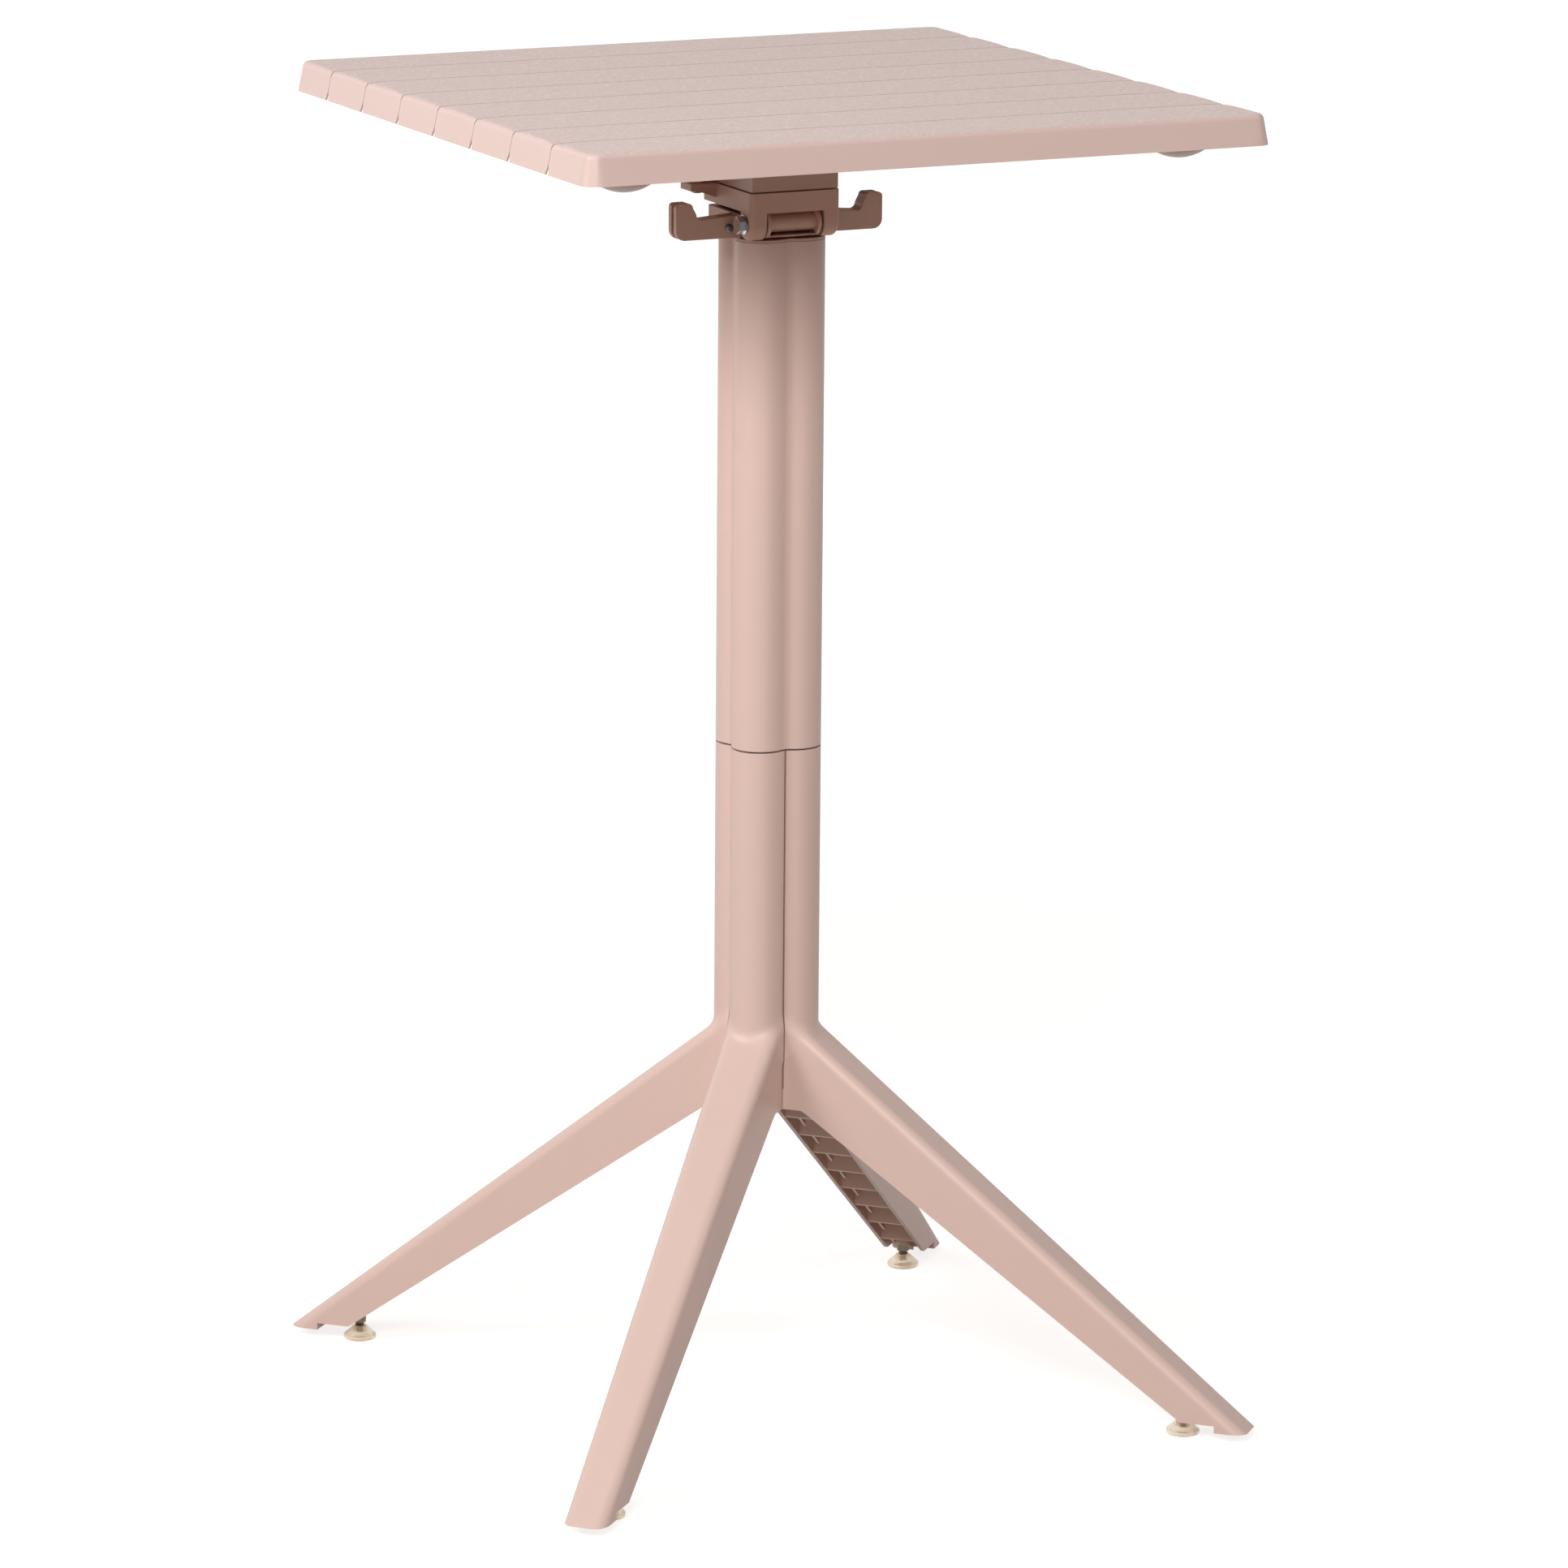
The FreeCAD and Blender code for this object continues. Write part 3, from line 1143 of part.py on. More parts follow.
    def stiffeners(self):
        """Cross ribs with a short rib in each cell, and the webs of the shank."""
        rib = value("leg_rib")
        wide = self.depth
        made = []
        at = value("leg_rib_start")
        last = value(f"{FOOT_OUT} - foot_boss - leg_rib")
        while at < last:
            made.append(Part.makeBox(rib, wide, self.height, Vector(at, -wide / 2, 0)))
            side = value("leg_stub_side")
            made.append(Part.makeBox(value("leg_stub"), rib, self.height, Vector(at, side, 0)))
            at += value("leg_rib_pitch")
        level = value(f"{FLOOR_TOP} + leg_web_pitch")
        while level < value("leg_height - collar_sleeve - 2 * leg_rib"):
            plate = Part.makeBox(self.crest, wide, rib, Vector(0, -wide / 2, level))
            made.append(plate)
            level += value("leg_web_pitch")
        return made[0].multiFuse(made[1:])

    def build(self):
        crotch = value("leg_crotch")
        floor = value(FLOOR_TOP)
        wedge = self.wedge(value("leg_lip_slit"), 0, floor)
        wedge = wedge.fuse(self.wedge(value("leg_slit"), floor, self.height))
        side = self.round_crotch(self.prism(self.underside(0)))
        outer = self.envelope().common(side).common(wedge)
        wall = value("column_wall")
        floor_end = value("leg_floor_end")
        toe = self.tip - value("leg_toe + leg_toe_wall")
        room = self.room(wall).common(self.prism([
            (-self.crest, floor), (floor_end, floor), (floor_end, 0), (toe, 0), (toe, self.height),
            (-self.crest, self.height),
        ]))
        ribs = self.stiffeners().common(self.prism(self.underside(value("leg_rib_shy"))))
        boss = Part.makeCylinder(value("foot_boss"), self.height,
                                 Vector(value(FOOT_OUT), 0, value("leg_heel_height")))
        leg = outer.cut(room.cut([ribs, boss]))
        hole_depth = value("stem_length + pad_floor + stem_room - leg_heel_height")
        hole = Part.makeCylinder(value("insert_radius + insert_play"), hole_depth,
                                 Vector(value(FOOT_OUT), 0, value("leg_heel_height")))
        tube = Part.makeCylinder(value("tube_radius + tube_play"), self.height, Vector(0, 0, floor))
        recess = Part.makeCylinder(value("clamp_radius + clamp_play"), value(f"{CLAMP_TOP} - leg_crotch"),
                                   Vector(0, 0, crotch))
        rod = Part.makeCylinder(value("rod_radius + rod_play"), self.height)
        return leg.cut([hole, tube, recess, rod]).removeSplitter()


def legs():
    shape = LegShape().build()
    made = []
    for corner, angle in QUARTERS.items():
        leg = doc.addObject("Part::Feature", f"leg_{corner}")
        leg.Label = f"leg_{corner}"
        leg.Shape = shape
        leg.Placement = Placement(Vector(), Rotation(Vector(0, 0, 1), angle))
        made.append(leg)
    return made


# Feet


def foot_place(item, angle, z="0"):
    """Put an item over the foot of the leg at this angle."""
    return place(item, f"{FOOT_OUT} * cos({angle})", f"{FOOT_OUT} * sin({angle})", z)


def foot_inserts():
    made = []
    for angle in QUARTERS.values():
        insert = ring("foot_insert", "insert_radius", "stem_radius + stem_play", "insert_length")
        made.append(foot_place(insert, angle, "leg_heel_height"))
    return group("foot_inserts", made)


def foot_stem(corner, angle):
    """Threaded stem, set in its pad."""
    stem = make_body(f"foot_stem_{corner}")
    pad(stem, draw(stem, "XY", ("0", "0", "stem_radius")), "stem_length")
    return foot_place(stem, angle, "pad_floor")


def foot_pad(corner, angle):
    """Conical pad with a socket for the stem."""
    foot = make_body(f"foot_pad_{corner}")
    socket = "stem_radius + stem_play"
    revolve(foot, (
        ("0", "0"), ("pad_radius - pad_bevel", "0"), ("pad_radius", "pad_bevel"), ("pad_radius", "pad_edge"),
        ("pad_neck", "pad_height"), (socket, "pad_height"), (socket, "pad_floor"), ("0", "pad_floor"),
    ))
    return foot_place(foot, angle)


# Build, check and write


def build():
    made = [
        table_top(), tilt_bracket(), bracket_screws(), pivot_bolt(), pivot_nut(), pivot_washers(),
        friction_washers(), latch_lever(), latch_pin(), column_head(), bag_hook("hook_left", -1),
        bag_hook("hook_right", 1), hook_screws(), upper_column(), joining_collar(), core_tube(), core_cap(),
        tie_rod(), tie_rod_nuts(), tie_rod_washer(), clamp_plate(), foot_inserts(),
    ]
    made += legs()
    for corner, angle in QUARTERS.items():
        made += [foot_stem(corner, angle), foot_pad(corner, angle)]
    return made


def check(made):
    doc.recompute()
    for item in doc.Objects:
        if "Invalid" in item.State or "Error" in item.State:
            raise RuntimeError(f"{item.Label}: {item.State}")
    for item in made:
        if item.Shape.isNull() or not item.Shape.isValid() or not item.Shape.Solids:
            raise RuntimeError(f"{item.Label}: bad shape")


nodes = build()
check(nodes)
os.makedirs("parts", exist_ok=True)
for node in nodes:
    node.Shape.exportStep(f"parts/{node.Label}.step")
    print(node.Label, len(node.Shape.Solids), round(node.Shape.Volume / 1000, 2), "cm3")
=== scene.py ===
import logging
import math
from collections.abc import Callable
from dataclasses import dataclass, field
from enum import Enum
from functools import cache

import bmesh
import bpy
from mathutils import Matrix, Vector


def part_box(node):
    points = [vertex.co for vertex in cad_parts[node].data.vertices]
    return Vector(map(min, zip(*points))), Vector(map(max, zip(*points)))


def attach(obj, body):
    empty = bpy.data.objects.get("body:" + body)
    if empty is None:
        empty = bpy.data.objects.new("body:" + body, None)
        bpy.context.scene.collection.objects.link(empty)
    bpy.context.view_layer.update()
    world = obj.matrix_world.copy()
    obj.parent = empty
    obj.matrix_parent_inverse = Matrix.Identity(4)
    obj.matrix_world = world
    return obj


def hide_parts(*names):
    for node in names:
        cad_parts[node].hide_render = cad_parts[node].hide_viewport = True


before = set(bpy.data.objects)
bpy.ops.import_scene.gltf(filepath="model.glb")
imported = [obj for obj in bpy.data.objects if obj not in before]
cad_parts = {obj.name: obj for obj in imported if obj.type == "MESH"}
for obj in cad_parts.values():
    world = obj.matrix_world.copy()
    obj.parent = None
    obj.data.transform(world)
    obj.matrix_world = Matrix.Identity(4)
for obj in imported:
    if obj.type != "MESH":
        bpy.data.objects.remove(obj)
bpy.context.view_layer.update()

LOG = logging.getLogger("bar_table")
Colour = tuple[float, float, float]
Place = tuple[float, float, float]
Plane = tuple[Vector | Place, Vector | Place]
Span = tuple[float, float]
Socket = bpy.types.NodeSocket
Term = Socket | float

# Lengths are in metres, and angles in degrees, apart from the slope of the legs and the turn of the screws.
PLANK_PITCH = 0.075
LOBE_RADIUS = 0.0232
LOBE_OFFSET = 0.0218
MERGE_DISTANCE = 2e-6
CUT_DISTANCE = 1e-6
FLAT_ANGLE = 0.6
SHARP_ANGLE = 32.0
EASE_SEGMENTS = 2
EVEN_WEIGHT = 80
FULL: Span = (0.0, 1.0)
FADE: Span = (1.0, 0.0)
WHITE: Colour = (1.0, 1.0, 1.0)
# Attribute that marks where painted shade darkens deep hollows.
PAINTED_SHADE = "hollow"


class Body(Enum):
    """Bodies of the table that pieces ride on, apart from the feet."""

    BASE = "base"
    TOP = "top"
    LATCH = "latch"


class Corner(Enum):
    """Corners that the legs point to."""

    FRONT_LEFT = "front_left"
    FRONT_RIGHT = "front_right"
    BACK_LEFT = "back_left"
    BACK_RIGHT = "back_right"

    @property
    def leg(self) -> str:
        """Name of the leg."""
        return f"leg_{self.value}"

    @property
    def foot(self) -> str:
        """Name of the body of the foot."""
        return f"foot_{self.value}"

    @property
    def outward(self) -> Vector:
        """Level direction that the leg points in."""
        across = 1.0 if self.value.endswith("right") else -1.0
        along = 1.0 if self.value.startswith("back") else -1.0
        return Vector((across, along, 0.0)).normalized()


class Slot(Enum):
    """Material slots of the record."""

    TOP = "top_plastic"
    COLUMN = "column_plastic"
    HEAD = "head_plastic"
    DARK = "dark_plastic"
    PAD = "pad_plastic"
    ZINC = "zinc_steel"
    BRIGHT = "bright_steel"
    TUBE = "tube_metal"
    BRASS = "insert_brass"


@dataclass(frozen=True)
class Noise:
    """Grey noise: features per metre, steps of detail and how rough they are."""

    scale: float
    detail: float
    rough: float


class Wiring:
    """Adds nodes to one node tree and joins them."""

    def __init__(self, tree: bpy.types.NodeTree) -> None:
        """Keep the tree that is wired."""
        self.tree = tree

    def node(self, kind: str, *wires: tuple[str | int, object], **settings: object) -> bpy.types.Node:
        """Add a node.

        Args:
            kind: Blender's name of the node type.
            wires: pairs of an input's name or number and a socket or a value for it.
            settings: properties of the node.

        Returns:
            The new node.
        """
        made = self.tree.nodes.new(kind)
        for name, value in settings.items():
            setattr(made, name, value)
        self.join(made, *wires)
        return made

    def join(self, node: bpy.types.Node, *wires: tuple[str | int, object]) -> None:
        """Feed inputs of a node, each named with its socket or value."""
        for name, value in wires:
            self.feed(node.inputs[name], value)

    def feed(self, into: Socket, value: object) -> None:
        """Join a socket to an input, or set the input to a value."""
        if isinstance(value, bpy.types.NodeSocket):
            self.tree.links.new(value, into)
        else:
            into.default_value = value

    def math(self, operation: str, *terms: Term) -> Socket:
        """Result of a Math node on sockets or numbers."""
        return self.node("ShaderNodeMath", *enumerate(terms), operation=operation).outputs[0]

    def times(self, first: Term, second: Term) -> Socket:
        """Product of two sockets or numbers."""
        return self.math("MULTIPLY", first, second)

    def ramp(self, value: Socket, span: Span, into: Span = FULL) -> Socket:
        """Value mapped from one clamped span into another."""
        made = self.node("ShaderNodeMapRange", ("Value", value), ("From Min", span[0]), ("From Max", span[1]),
                         ("To Min", into[0]), ("To Max", into[1]))
        return made.outputs["Result"]

    def noise(self, where: Socket, kind: Noise, scale: Socket | None = None) -> Socket:
        """Grey noise over a coordinate, at its own scale or at a given one."""
        made = self.node("ShaderNodeTexNoise", ("Vector", where), ("Detail", kind.detail),
                         ("Roughness", kind.rough), ("Scale", kind.scale if scale is None else scale))
        return made.outputs[0]

    def bump(self, height: Socket, strength: float, depth: float) -> Socket:
        """Normal that follows a height."""
        made = self.node("ShaderNodeBump", ("Height", height), ("Strength", strength), ("Distance", depth))
        return made.outputs["Normal"]

    def mix(self, share: Term, first: object, second: object) -> Socket:
        """Colour between two colours, which are inputs 6 and 7 and output 2 of the node."""
        return self.node("ShaderNodeMix", (0, share), (6, first), (7, second), data_type="RGBA").outputs[2]


def add_sockets(tree: bpy.types.NodeTree, way: str, *sockets: tuple[str, str]) -> None:
    """Give a node group inputs or outputs of the given names and kinds."""
    for name, kind in sockets:
        tree.interface.new_socket(name, in_out=way, socket_type=f"NodeSocket{kind}")


def stand(name: str, data: bpy.types.ID) -> bpy.types.Object:
    """New object in the scene."""
    made = bpy.data.objects.new(name, data)
    bpy.context.collection.objects.link(made)
    return made


class SizedTree(Wiring):
    """Geometry Nodes tree whose sizes are named inputs and whose result is one plain mesh."""

    def __init__(self, name: str, sizes: dict[str, float]) -> None:
        """Make the tree with its inputs.

        Args:
            name: name of the tree.
            sizes: input names and their values, in metres or plain numbers.
        """
        super().__init__(bpy.data.node_groups.new(name, "GeometryNodeTree"))
        self.tree.is_modifier = True
        self.sizes = sizes
        add_sockets(self.tree, "INPUT", ("Places", "Geometry"), *((size, "Float") for size in sizes),
                    ("Finish", "Material"))
        add_sockets(self.tree, "OUTPUT", ("Piece", "Geometry"))
        self.given = self.node("NodeGroupInput").outputs

    def sheet(self, around: int, rows: int) -> tuple[Socket, Socket, Socket]:
        """Grid to be bent into a closed shape, each point's row and its angle about the axis."""
        grid = self.node("GeometryNodeMeshGrid", ("Vertices X", around + 1), ("Vertices Y", rows))
        index = self.node("GeometryNodeInputIndex").outputs[0]
        step = self.math("FLOOR", self.math("DIVIDE", self.math("ADD", index, 0.5), float(rows)))
        row = self.math("SUBTRACT", index, self.times(step, float(rows)))
        return grid.outputs["Mesh"], row, self.times(step, math.tau / around)

    def pick(self, row: Socket, values: list[Term]) -> Socket:
        """Value that belongs to each row."""
        made = self.node("GeometryNodeIndexSwitch", ("Index", row), data_type="FLOAT")
        for _ in values[2:]:
            made.index_switch_items.new()
        self.join(made, *enumerate(values, 1))
        return made.outputs[0]

    def bend(self, grid: Socket, radius: Socket, angle: Socket, height: Socket) -> Socket:
        """Put a grid's points round the axis and close the seam and the poles."""
        across = self.times(radius, self.math("COSINE", angle))
        along = self.times(radius, self.math("SINE", angle))
        where = self.node("ShaderNodeCombineXYZ", ("X", across), ("Y", along), ("Z", height))
        moved = self.node("GeometryNodeSetPosition", ("Geometry", grid), ("Position", where.outputs[0]))
        merged = self.node("GeometryNodeMergeByDistance", ("Geometry", moved.outputs[0]),
                           ("Distance", MERGE_DISTANCE))
        return merged.outputs[0]

    def turned(self, outline: list[tuple[Term, Term]], around: int) -> Socket:
        """Closed round shape from pairs of radius and height, from pole to pole."""
        grid, row, angle = self.sheet(around, len(outline))
        radius = self.pick(row, [pair[0] for pair in outline])
        return self.bend(grid, radius, angle, self.pick(row, [pair[1] for pair in outline]))

    def end(self, shape: Socket) -> None:
        """Finish the tree: real geometry, smooth shading and the finish."""
        real = self.node("GeometryNodeRealizeInstances", (0, shape))
        smooth = self.node("GeometryNodeSetShadeSmooth", (0, real.outputs[0]))
        dressed = self.node("GeometryNodeSetMaterial", ("Geometry", smooth.outputs[0]),
                            ("Material", self.given["Finish"]))
        self.node("NodeGroupOutput", ("Piece", dressed.outputs[0]))

    def piece(self, name: str, finish: bpy.types.Material, places: list[Vector]) -> bpy.types.Object:
        """Plain mesh object that the tree makes.

        Args:
            name: name of the object.
            finish: its material.
            places: points that the tree sets something on.

        Returns:
            The object, at the origin and without modifiers.
        """
        mesh = bpy.data.meshes.new(name)
        mesh.from_pydata(places, [], [])
        piece = stand(name, mesh)
        maker = piece.modifiers.new(name, "NODES")
        maker.node_group = self.tree
        for item in self.tree.interface.items_tree:
            if item.name in self.sizes:
                maker[item.identifier] = self.sizes[item.name]
            elif item.name == "Finish":
                maker[item.identifier] = finish
        settle(piece)
        turn_outwards(piece.data)
        piece.data.set_sharp_from_angle(angle=math.radians(SHARP_ANGLE))
        return piece


def settle(piece: bpy.types.Object) -> None:
    """Turn a piece with modifiers into a plain mesh."""
    depsgraph = bpy.context.evaluated_depsgraph_get()
    mesh = bpy.data.meshes.new_from_object(piece.evaluated_get(depsgraph), depsgraph=depsgraph)
    piece.modifiers.clear()
    piece.data = mesh


def turn_outwards(mesh: bpy.types.Mesh) -> None:
    """Point all faces of a closed mesh outwards."""
    shape = bmesh.new()
    shape.from_mesh(mesh)
    bmesh.ops.recalc_face_normals(shape, faces=shape.faces)
    shape.to_mesh(mesh)
    shape.free()


def cut_faces(shape: bmesh.types.BMesh, cuts: list[Plane], inside: Callable[[Vector], bool]) -> None:
    """Cut the faces of a region along planes, so that it can be shaped finely.

    Args:
        shape: the mesh.
        cuts: a point on each plane and its normal.
        inside: says whether a face with a corner at a place belongs to the region.
    """
    for point, normal in cuts:
        faces = [face for face in shape.faces if any(inside(vert.co) for vert in face.verts)]
        edges = {edge for face in faces for edge in face.edges}
        verts = {vert for face in faces for vert in face.verts}
        bmesh.ops.bisect_plane(shape, geom=[*faces, *edges, *verts], dist=CUT_DISTANCE, plane_co=point,
                               plane_no=normal)


def merged_copy(node: str) -> bmesh.types.BMesh:
    """Copy of a solid's mesh with its loose triangles joined into faces."""
    shape = bmesh.new()
    shape.from_mesh(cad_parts[node].data)
    bmesh.ops.remove_doubles(shape, verts=shape.verts, dist=MERGE_DISTANCE)
    bmesh.ops.dissolve_limit(shape, angle_limit=math.radians(FLAT_ANGLE), verts=shape.verts, edges=shape.edges)
    return shape


def loose_boxes(node: str) -> list[tuple[Vector, Vector]]:
    """Lowest and highest corner of each separate solid of a node, in order of place."""
    shape = merged_copy(node)
    boxes = []
    left = set(shape.verts)
    while left:
        found = [left.pop()]
        for vert in found:
            near = {edge.other_vert(vert) for edge in vert.link_edges} & left
            left -= near
            found.extend(near)
        spots = [vert.co for vert in found]
        boxes.append((Vector([min(spot[i] for spot in spots) for i in range(3)]),
                      Vector([max(spot[i] for spot in spots) for i in range(3)])))
    shape.free()
    return sorted(boxes, key=lambda box: tuple(box[0]))


def opaque(colour: Colour, tint: Colour = WHITE) -> tuple[float, ...]:
    """Colour times a tint, with full alpha."""
    return (*(channel * share for channel, share in zip(colour, tint)), 1.0)


def skin_group(name: str, *inputs: tuple[str, str]) -> Wiring:
    """Wiring of a new shader group that puts out a colour, a roughness and a height."""
    group = bpy.data.node_groups.new(name, "ShaderNodeTree")
    add_sockets(group, "INPUT", *inputs)
    add_sockets(group, "OUTPUT", ("Colour", "Color"), ("Roughness", "Float"), ("Height", "Float"))
    return Wiring(group)


@dataclass(frozen=True)
class MouldedSkin:
    """Marks on moulded plastic: fine spark-eroded grain, cloudy colour, dust with a painted sheen on upward faces,
    and faint scuffs.
    """

    grain: Noise = Noise(1.0, 2.0, 0.6)
    cloud: Noise = Noise(7.0, 4.0, 0.6)
    fleck: Noise = Noise(260.0, 2.0, 0.5)
    scuff: Noise = Noise(1.0, 3.0, 0.6)
    scuff_stretch: Place = (6.0, 140.0, 90.0)
    scuff_span: Span = (0.62, 0.74)
    scuff_gloss: float = 0.05
    cloud_span: Span = (0.35, 0.7)
    gloss_span: Span = (0.3, 0.7)
    gloss: Span = (-0.05, 0.07)
    # Upward faces lean towards the dust colour: real dust, and also a painted sheen and light from above.
    level_span: Span = (0.55, 1.0)
    level_dust_and_sheen: Span = (0.0, 0.5)
    fleck_span: Span = (0.45, 0.75)
    fleck_dust: Span = (0.15, 1.0)
    fleck_height: float = 0.6

    @cache
    def group(self) -> bpy.types.NodeTree:
        """Shader group of the marks, made once."""
        wiring = skin_group("moulded_skin", ("Vector", "Vector"), ("Colour", "Color"), ("Cloud", "Color"),
                            ("Dust And Sheen", "Color"), ("Grain Scale", "Float"), ("Cloudiness", "Float"),
                            ("Roughness", "Float"))
        given = wiring.node("NodeGroupInput").outputs
        where = given["Vector"]
        grain = wiring.noise(where, self.grain, given["Grain Scale"])
        cloud = wiring.noise(where, self.cloud)
        fleck = wiring.noise(where, self.fleck)
        share = wiring.times(wiring.ramp(cloud, self.cloud_span), given["Cloudiness"])
        clouded = wiring.mix(share, given["Colour"], given["Cloud"])
        normal = wiring.node("ShaderNodeNewGeometry").outputs["Normal"]
        upward = wiring.node("ShaderNodeSeparateXYZ", ("Vector", normal)).outputs["Z"]
        # Share of the dust colour: real dust flecks, and a painted sheen on upward faces.
        dust_and_sheen_share = wiring.times(wiring.ramp(upward, self.level_span, self.level_dust_and_sheen),
                               wiring.ramp(fleck, self.fleck_span, self.fleck_dust))
        dusted_and_sheened = wiring.mix(dust_and_sheen_share, clouded, given["Dust And Sheen"])
        stretched = wiring.node("ShaderNodeMapping", ("Vector", where), ("Scale", self.scuff_stretch))
        scuff = wiring.ramp(wiring.noise(stretched.outputs[0], self.scuff), self.scuff_span)
        gloss = wiring.times(wiring.ramp(cloud, self.gloss_span, self.gloss), given["Cloudiness"])
        rough = wiring.math("ADD", given["Roughness"], gloss)
        rough = wiring.math("ADD", rough, wiring.times(scuff, self.scuff_gloss))
        height = wiring.math("ADD", grain, wiring.times(fleck, self.fleck_height))
        wiring.node("NodeGroupOutput", ("Colour", dusted_and_sheened), ("Roughness", rough), ("Height", height))
        return wiring.tree


@dataclass(frozen=True)
class MetalSkin:
    """Marks on worked metal: fine lay lines and stains."""

    lay: Noise = Noise(1.0, 2.0, 0.5)
    lay_stretch: Place = (900.0, 160.0, 900.0)
    lay_span: Span = (0.3, 0.7)
    lay_gloss: Span = (-0.03, 0.03)
    stain: Noise = Noise(120.0, 4.0, 0.6)
    stain_span: Span = (0.45, 0.75)
    stain_share: Span = (0.0, 0.6)
    gloss_span: Span = (0.3, 0.8)
    gloss: Span = (-0.04, 0.16)

    @cache
    def group(self) -> bpy.types.NodeTree:
        """Shader group of the marks, made once."""
        wiring = skin_group("worked_metal", ("Vector", "Vector"), ("Colour", "Color"), ("Stain", "Color"),
                            ("Roughness", "Float"))
        given = wiring.node("NodeGroupInput").outputs
        drawn = wiring.node("ShaderNodeMapping", ("Vector", given["Vector"]), ("Scale", self.lay_stretch))
        lay = wiring.noise(drawn.outputs[0], self.lay)
        stain = wiring.noise(given["Vector"], self.stain)
        share = wiring.ramp(stain, self.stain_span, self.stain_share)
        rough = wiring.math("ADD", given["Roughness"], wiring.ramp(stain, self.gloss_span, self.gloss))
        rough = wiring.math("ADD", rough, wiring.ramp(lay, self.lay_span, self.lay_gloss))
        wiring.node("NodeGroupOutput", ("Colour", wiring.mix(share, given["Colour"], given["Stain"])),
                    ("Roughness", rough), ("Height", lay))
        return wiring.tree


def new_material(name: str) -> tuple[bpy.types.Material, Wiring, bpy.types.Node, Socket]:
    """New material, its wiring, its Principled shader and the object's coordinates."""
    material = bpy.data.materials.new(name)
    material.use_nodes = True
    wiring = Wiring(material.node_tree)
    where = wiring.node("ShaderNodeTexCoord").outputs["Object"]
    return material, wiring, material.node_tree.nodes["Principled BSDF"], where


@dataclass(frozen=True)
class MouldedPlastic:
    """Polypropylene as it leaves the mould: matt, slightly cloudy, dusty on top, with a painted sheen there."""

    name: str
    colour: Colour
    cloud: Colour
    # Colour of dust on upward faces, which also holds a painted sheen.
    dust_and_sheen: Colour
    roughness: float = 0.5
    grain: float = 1500.0
    relief: float = 0.06
    relief_depth: float = 0.0002
    cloudiness: float = 0.5
    index: float = 1.49
    # Tint of the painted shade in deep hollows.
    painted_hollow_shade: Colour = (1.0, 0.92, 0.84)

    def marked(self, wiring: Wiring, where: Socket, colour: Socket) -> Socket:
        """Colour with browner painted shade in deep hollows, which pieces mark in an attribute."""
        hollow = wiring.node("ShaderNodeAttribute", attribute_name=PAINTED_SHADE).outputs["Fac"]
        return wiring.mix(hollow, colour, opaque(self.colour, self.painted_hollow_shade))

    def make(self) -> bpy.types.Material:
        """Build the material."""
        material, wiring, shader, where = new_material(self.name)
        skin = wiring.node("ShaderNodeGroup", ("Vector", where), ("Colour", opaque(self.colour)),
                           ("Cloud", opaque(self.cloud)), ("Dust And Sheen", opaque(self.dust_and_sheen)), ("Grain Scale", self.grain),
                           ("Cloudiness", self.cloudiness), ("Roughness", self.roughness),
                           node_tree=MouldedSkin().group()).outputs
        wiring.join(shader, ("Base Color", self.marked(wiring, where, skin["Colour"])),
                    ("Roughness", skin["Roughness"]), ("IOR", self.index),
                    ("Normal", wiring.bump(skin["Height"], self.relief, self.relief_depth)))
        return material


@dataclass(frozen=True)
class SlattedPlastic(MouldedPlastic):
    """Moulded plastic of the top, with painted shade in the grooves between its planks and on its hub."""

    pitch: float = PLANK_PITCH
    line: Span = (0.0005, 0.0014)
    line_level: Span = (1.099, 1.102)
    # Painted shade of the grooves.
    painted_groove_shade: Colour = (0.66, 0.66, 0.66)
    hub_reach: Span = (0.075, 0.12)
    hub_level: Span = (1.072, 1.084)
    # Painted shade of the hub under the top.
    painted_hub_shade: Colour = (0.80, 0.68, 0.61)

    def marked(self, wiring: Wiring, where: Socket, colour: Socket) -> Socket:
        """Colour with the browner painted shade of the hub and painted shade along the lines of the grooves."""
        place = wiring.node("ShaderNodeSeparateXYZ", ("Vector", where)).outputs
        flat = wiring.node("ShaderNodeVectorMath", (0, where), (1, (1.0, 1.0, 0.0)), operation="MULTIPLY")
        away = wiring.node("ShaderNodeVectorMath", (0, flat.outputs[0]), operation="LENGTH").outputs["Value"]
        # Painted shade on the hub, below the planks and near the axis.
        hub = wiring.times(wiring.ramp(away, self.hub_reach, FADE), wiring.ramp(place["Z"], self.hub_level, FADE))
        colour = wiring.mix(hub, colour, opaque(self.colour, self.painted_hub_shade))
        # Painted shade along each groove between the planks.
        aside = wiring.math("PINGPONG", place["Y"], self.pitch / 2)
        groove = wiring.times(wiring.ramp(aside, self.line, FADE), wiring.ramp(place["Z"], self.line_level))
        return wiring.mix(groove, colour, opaque(self.colour, self.painted_groove_shade))


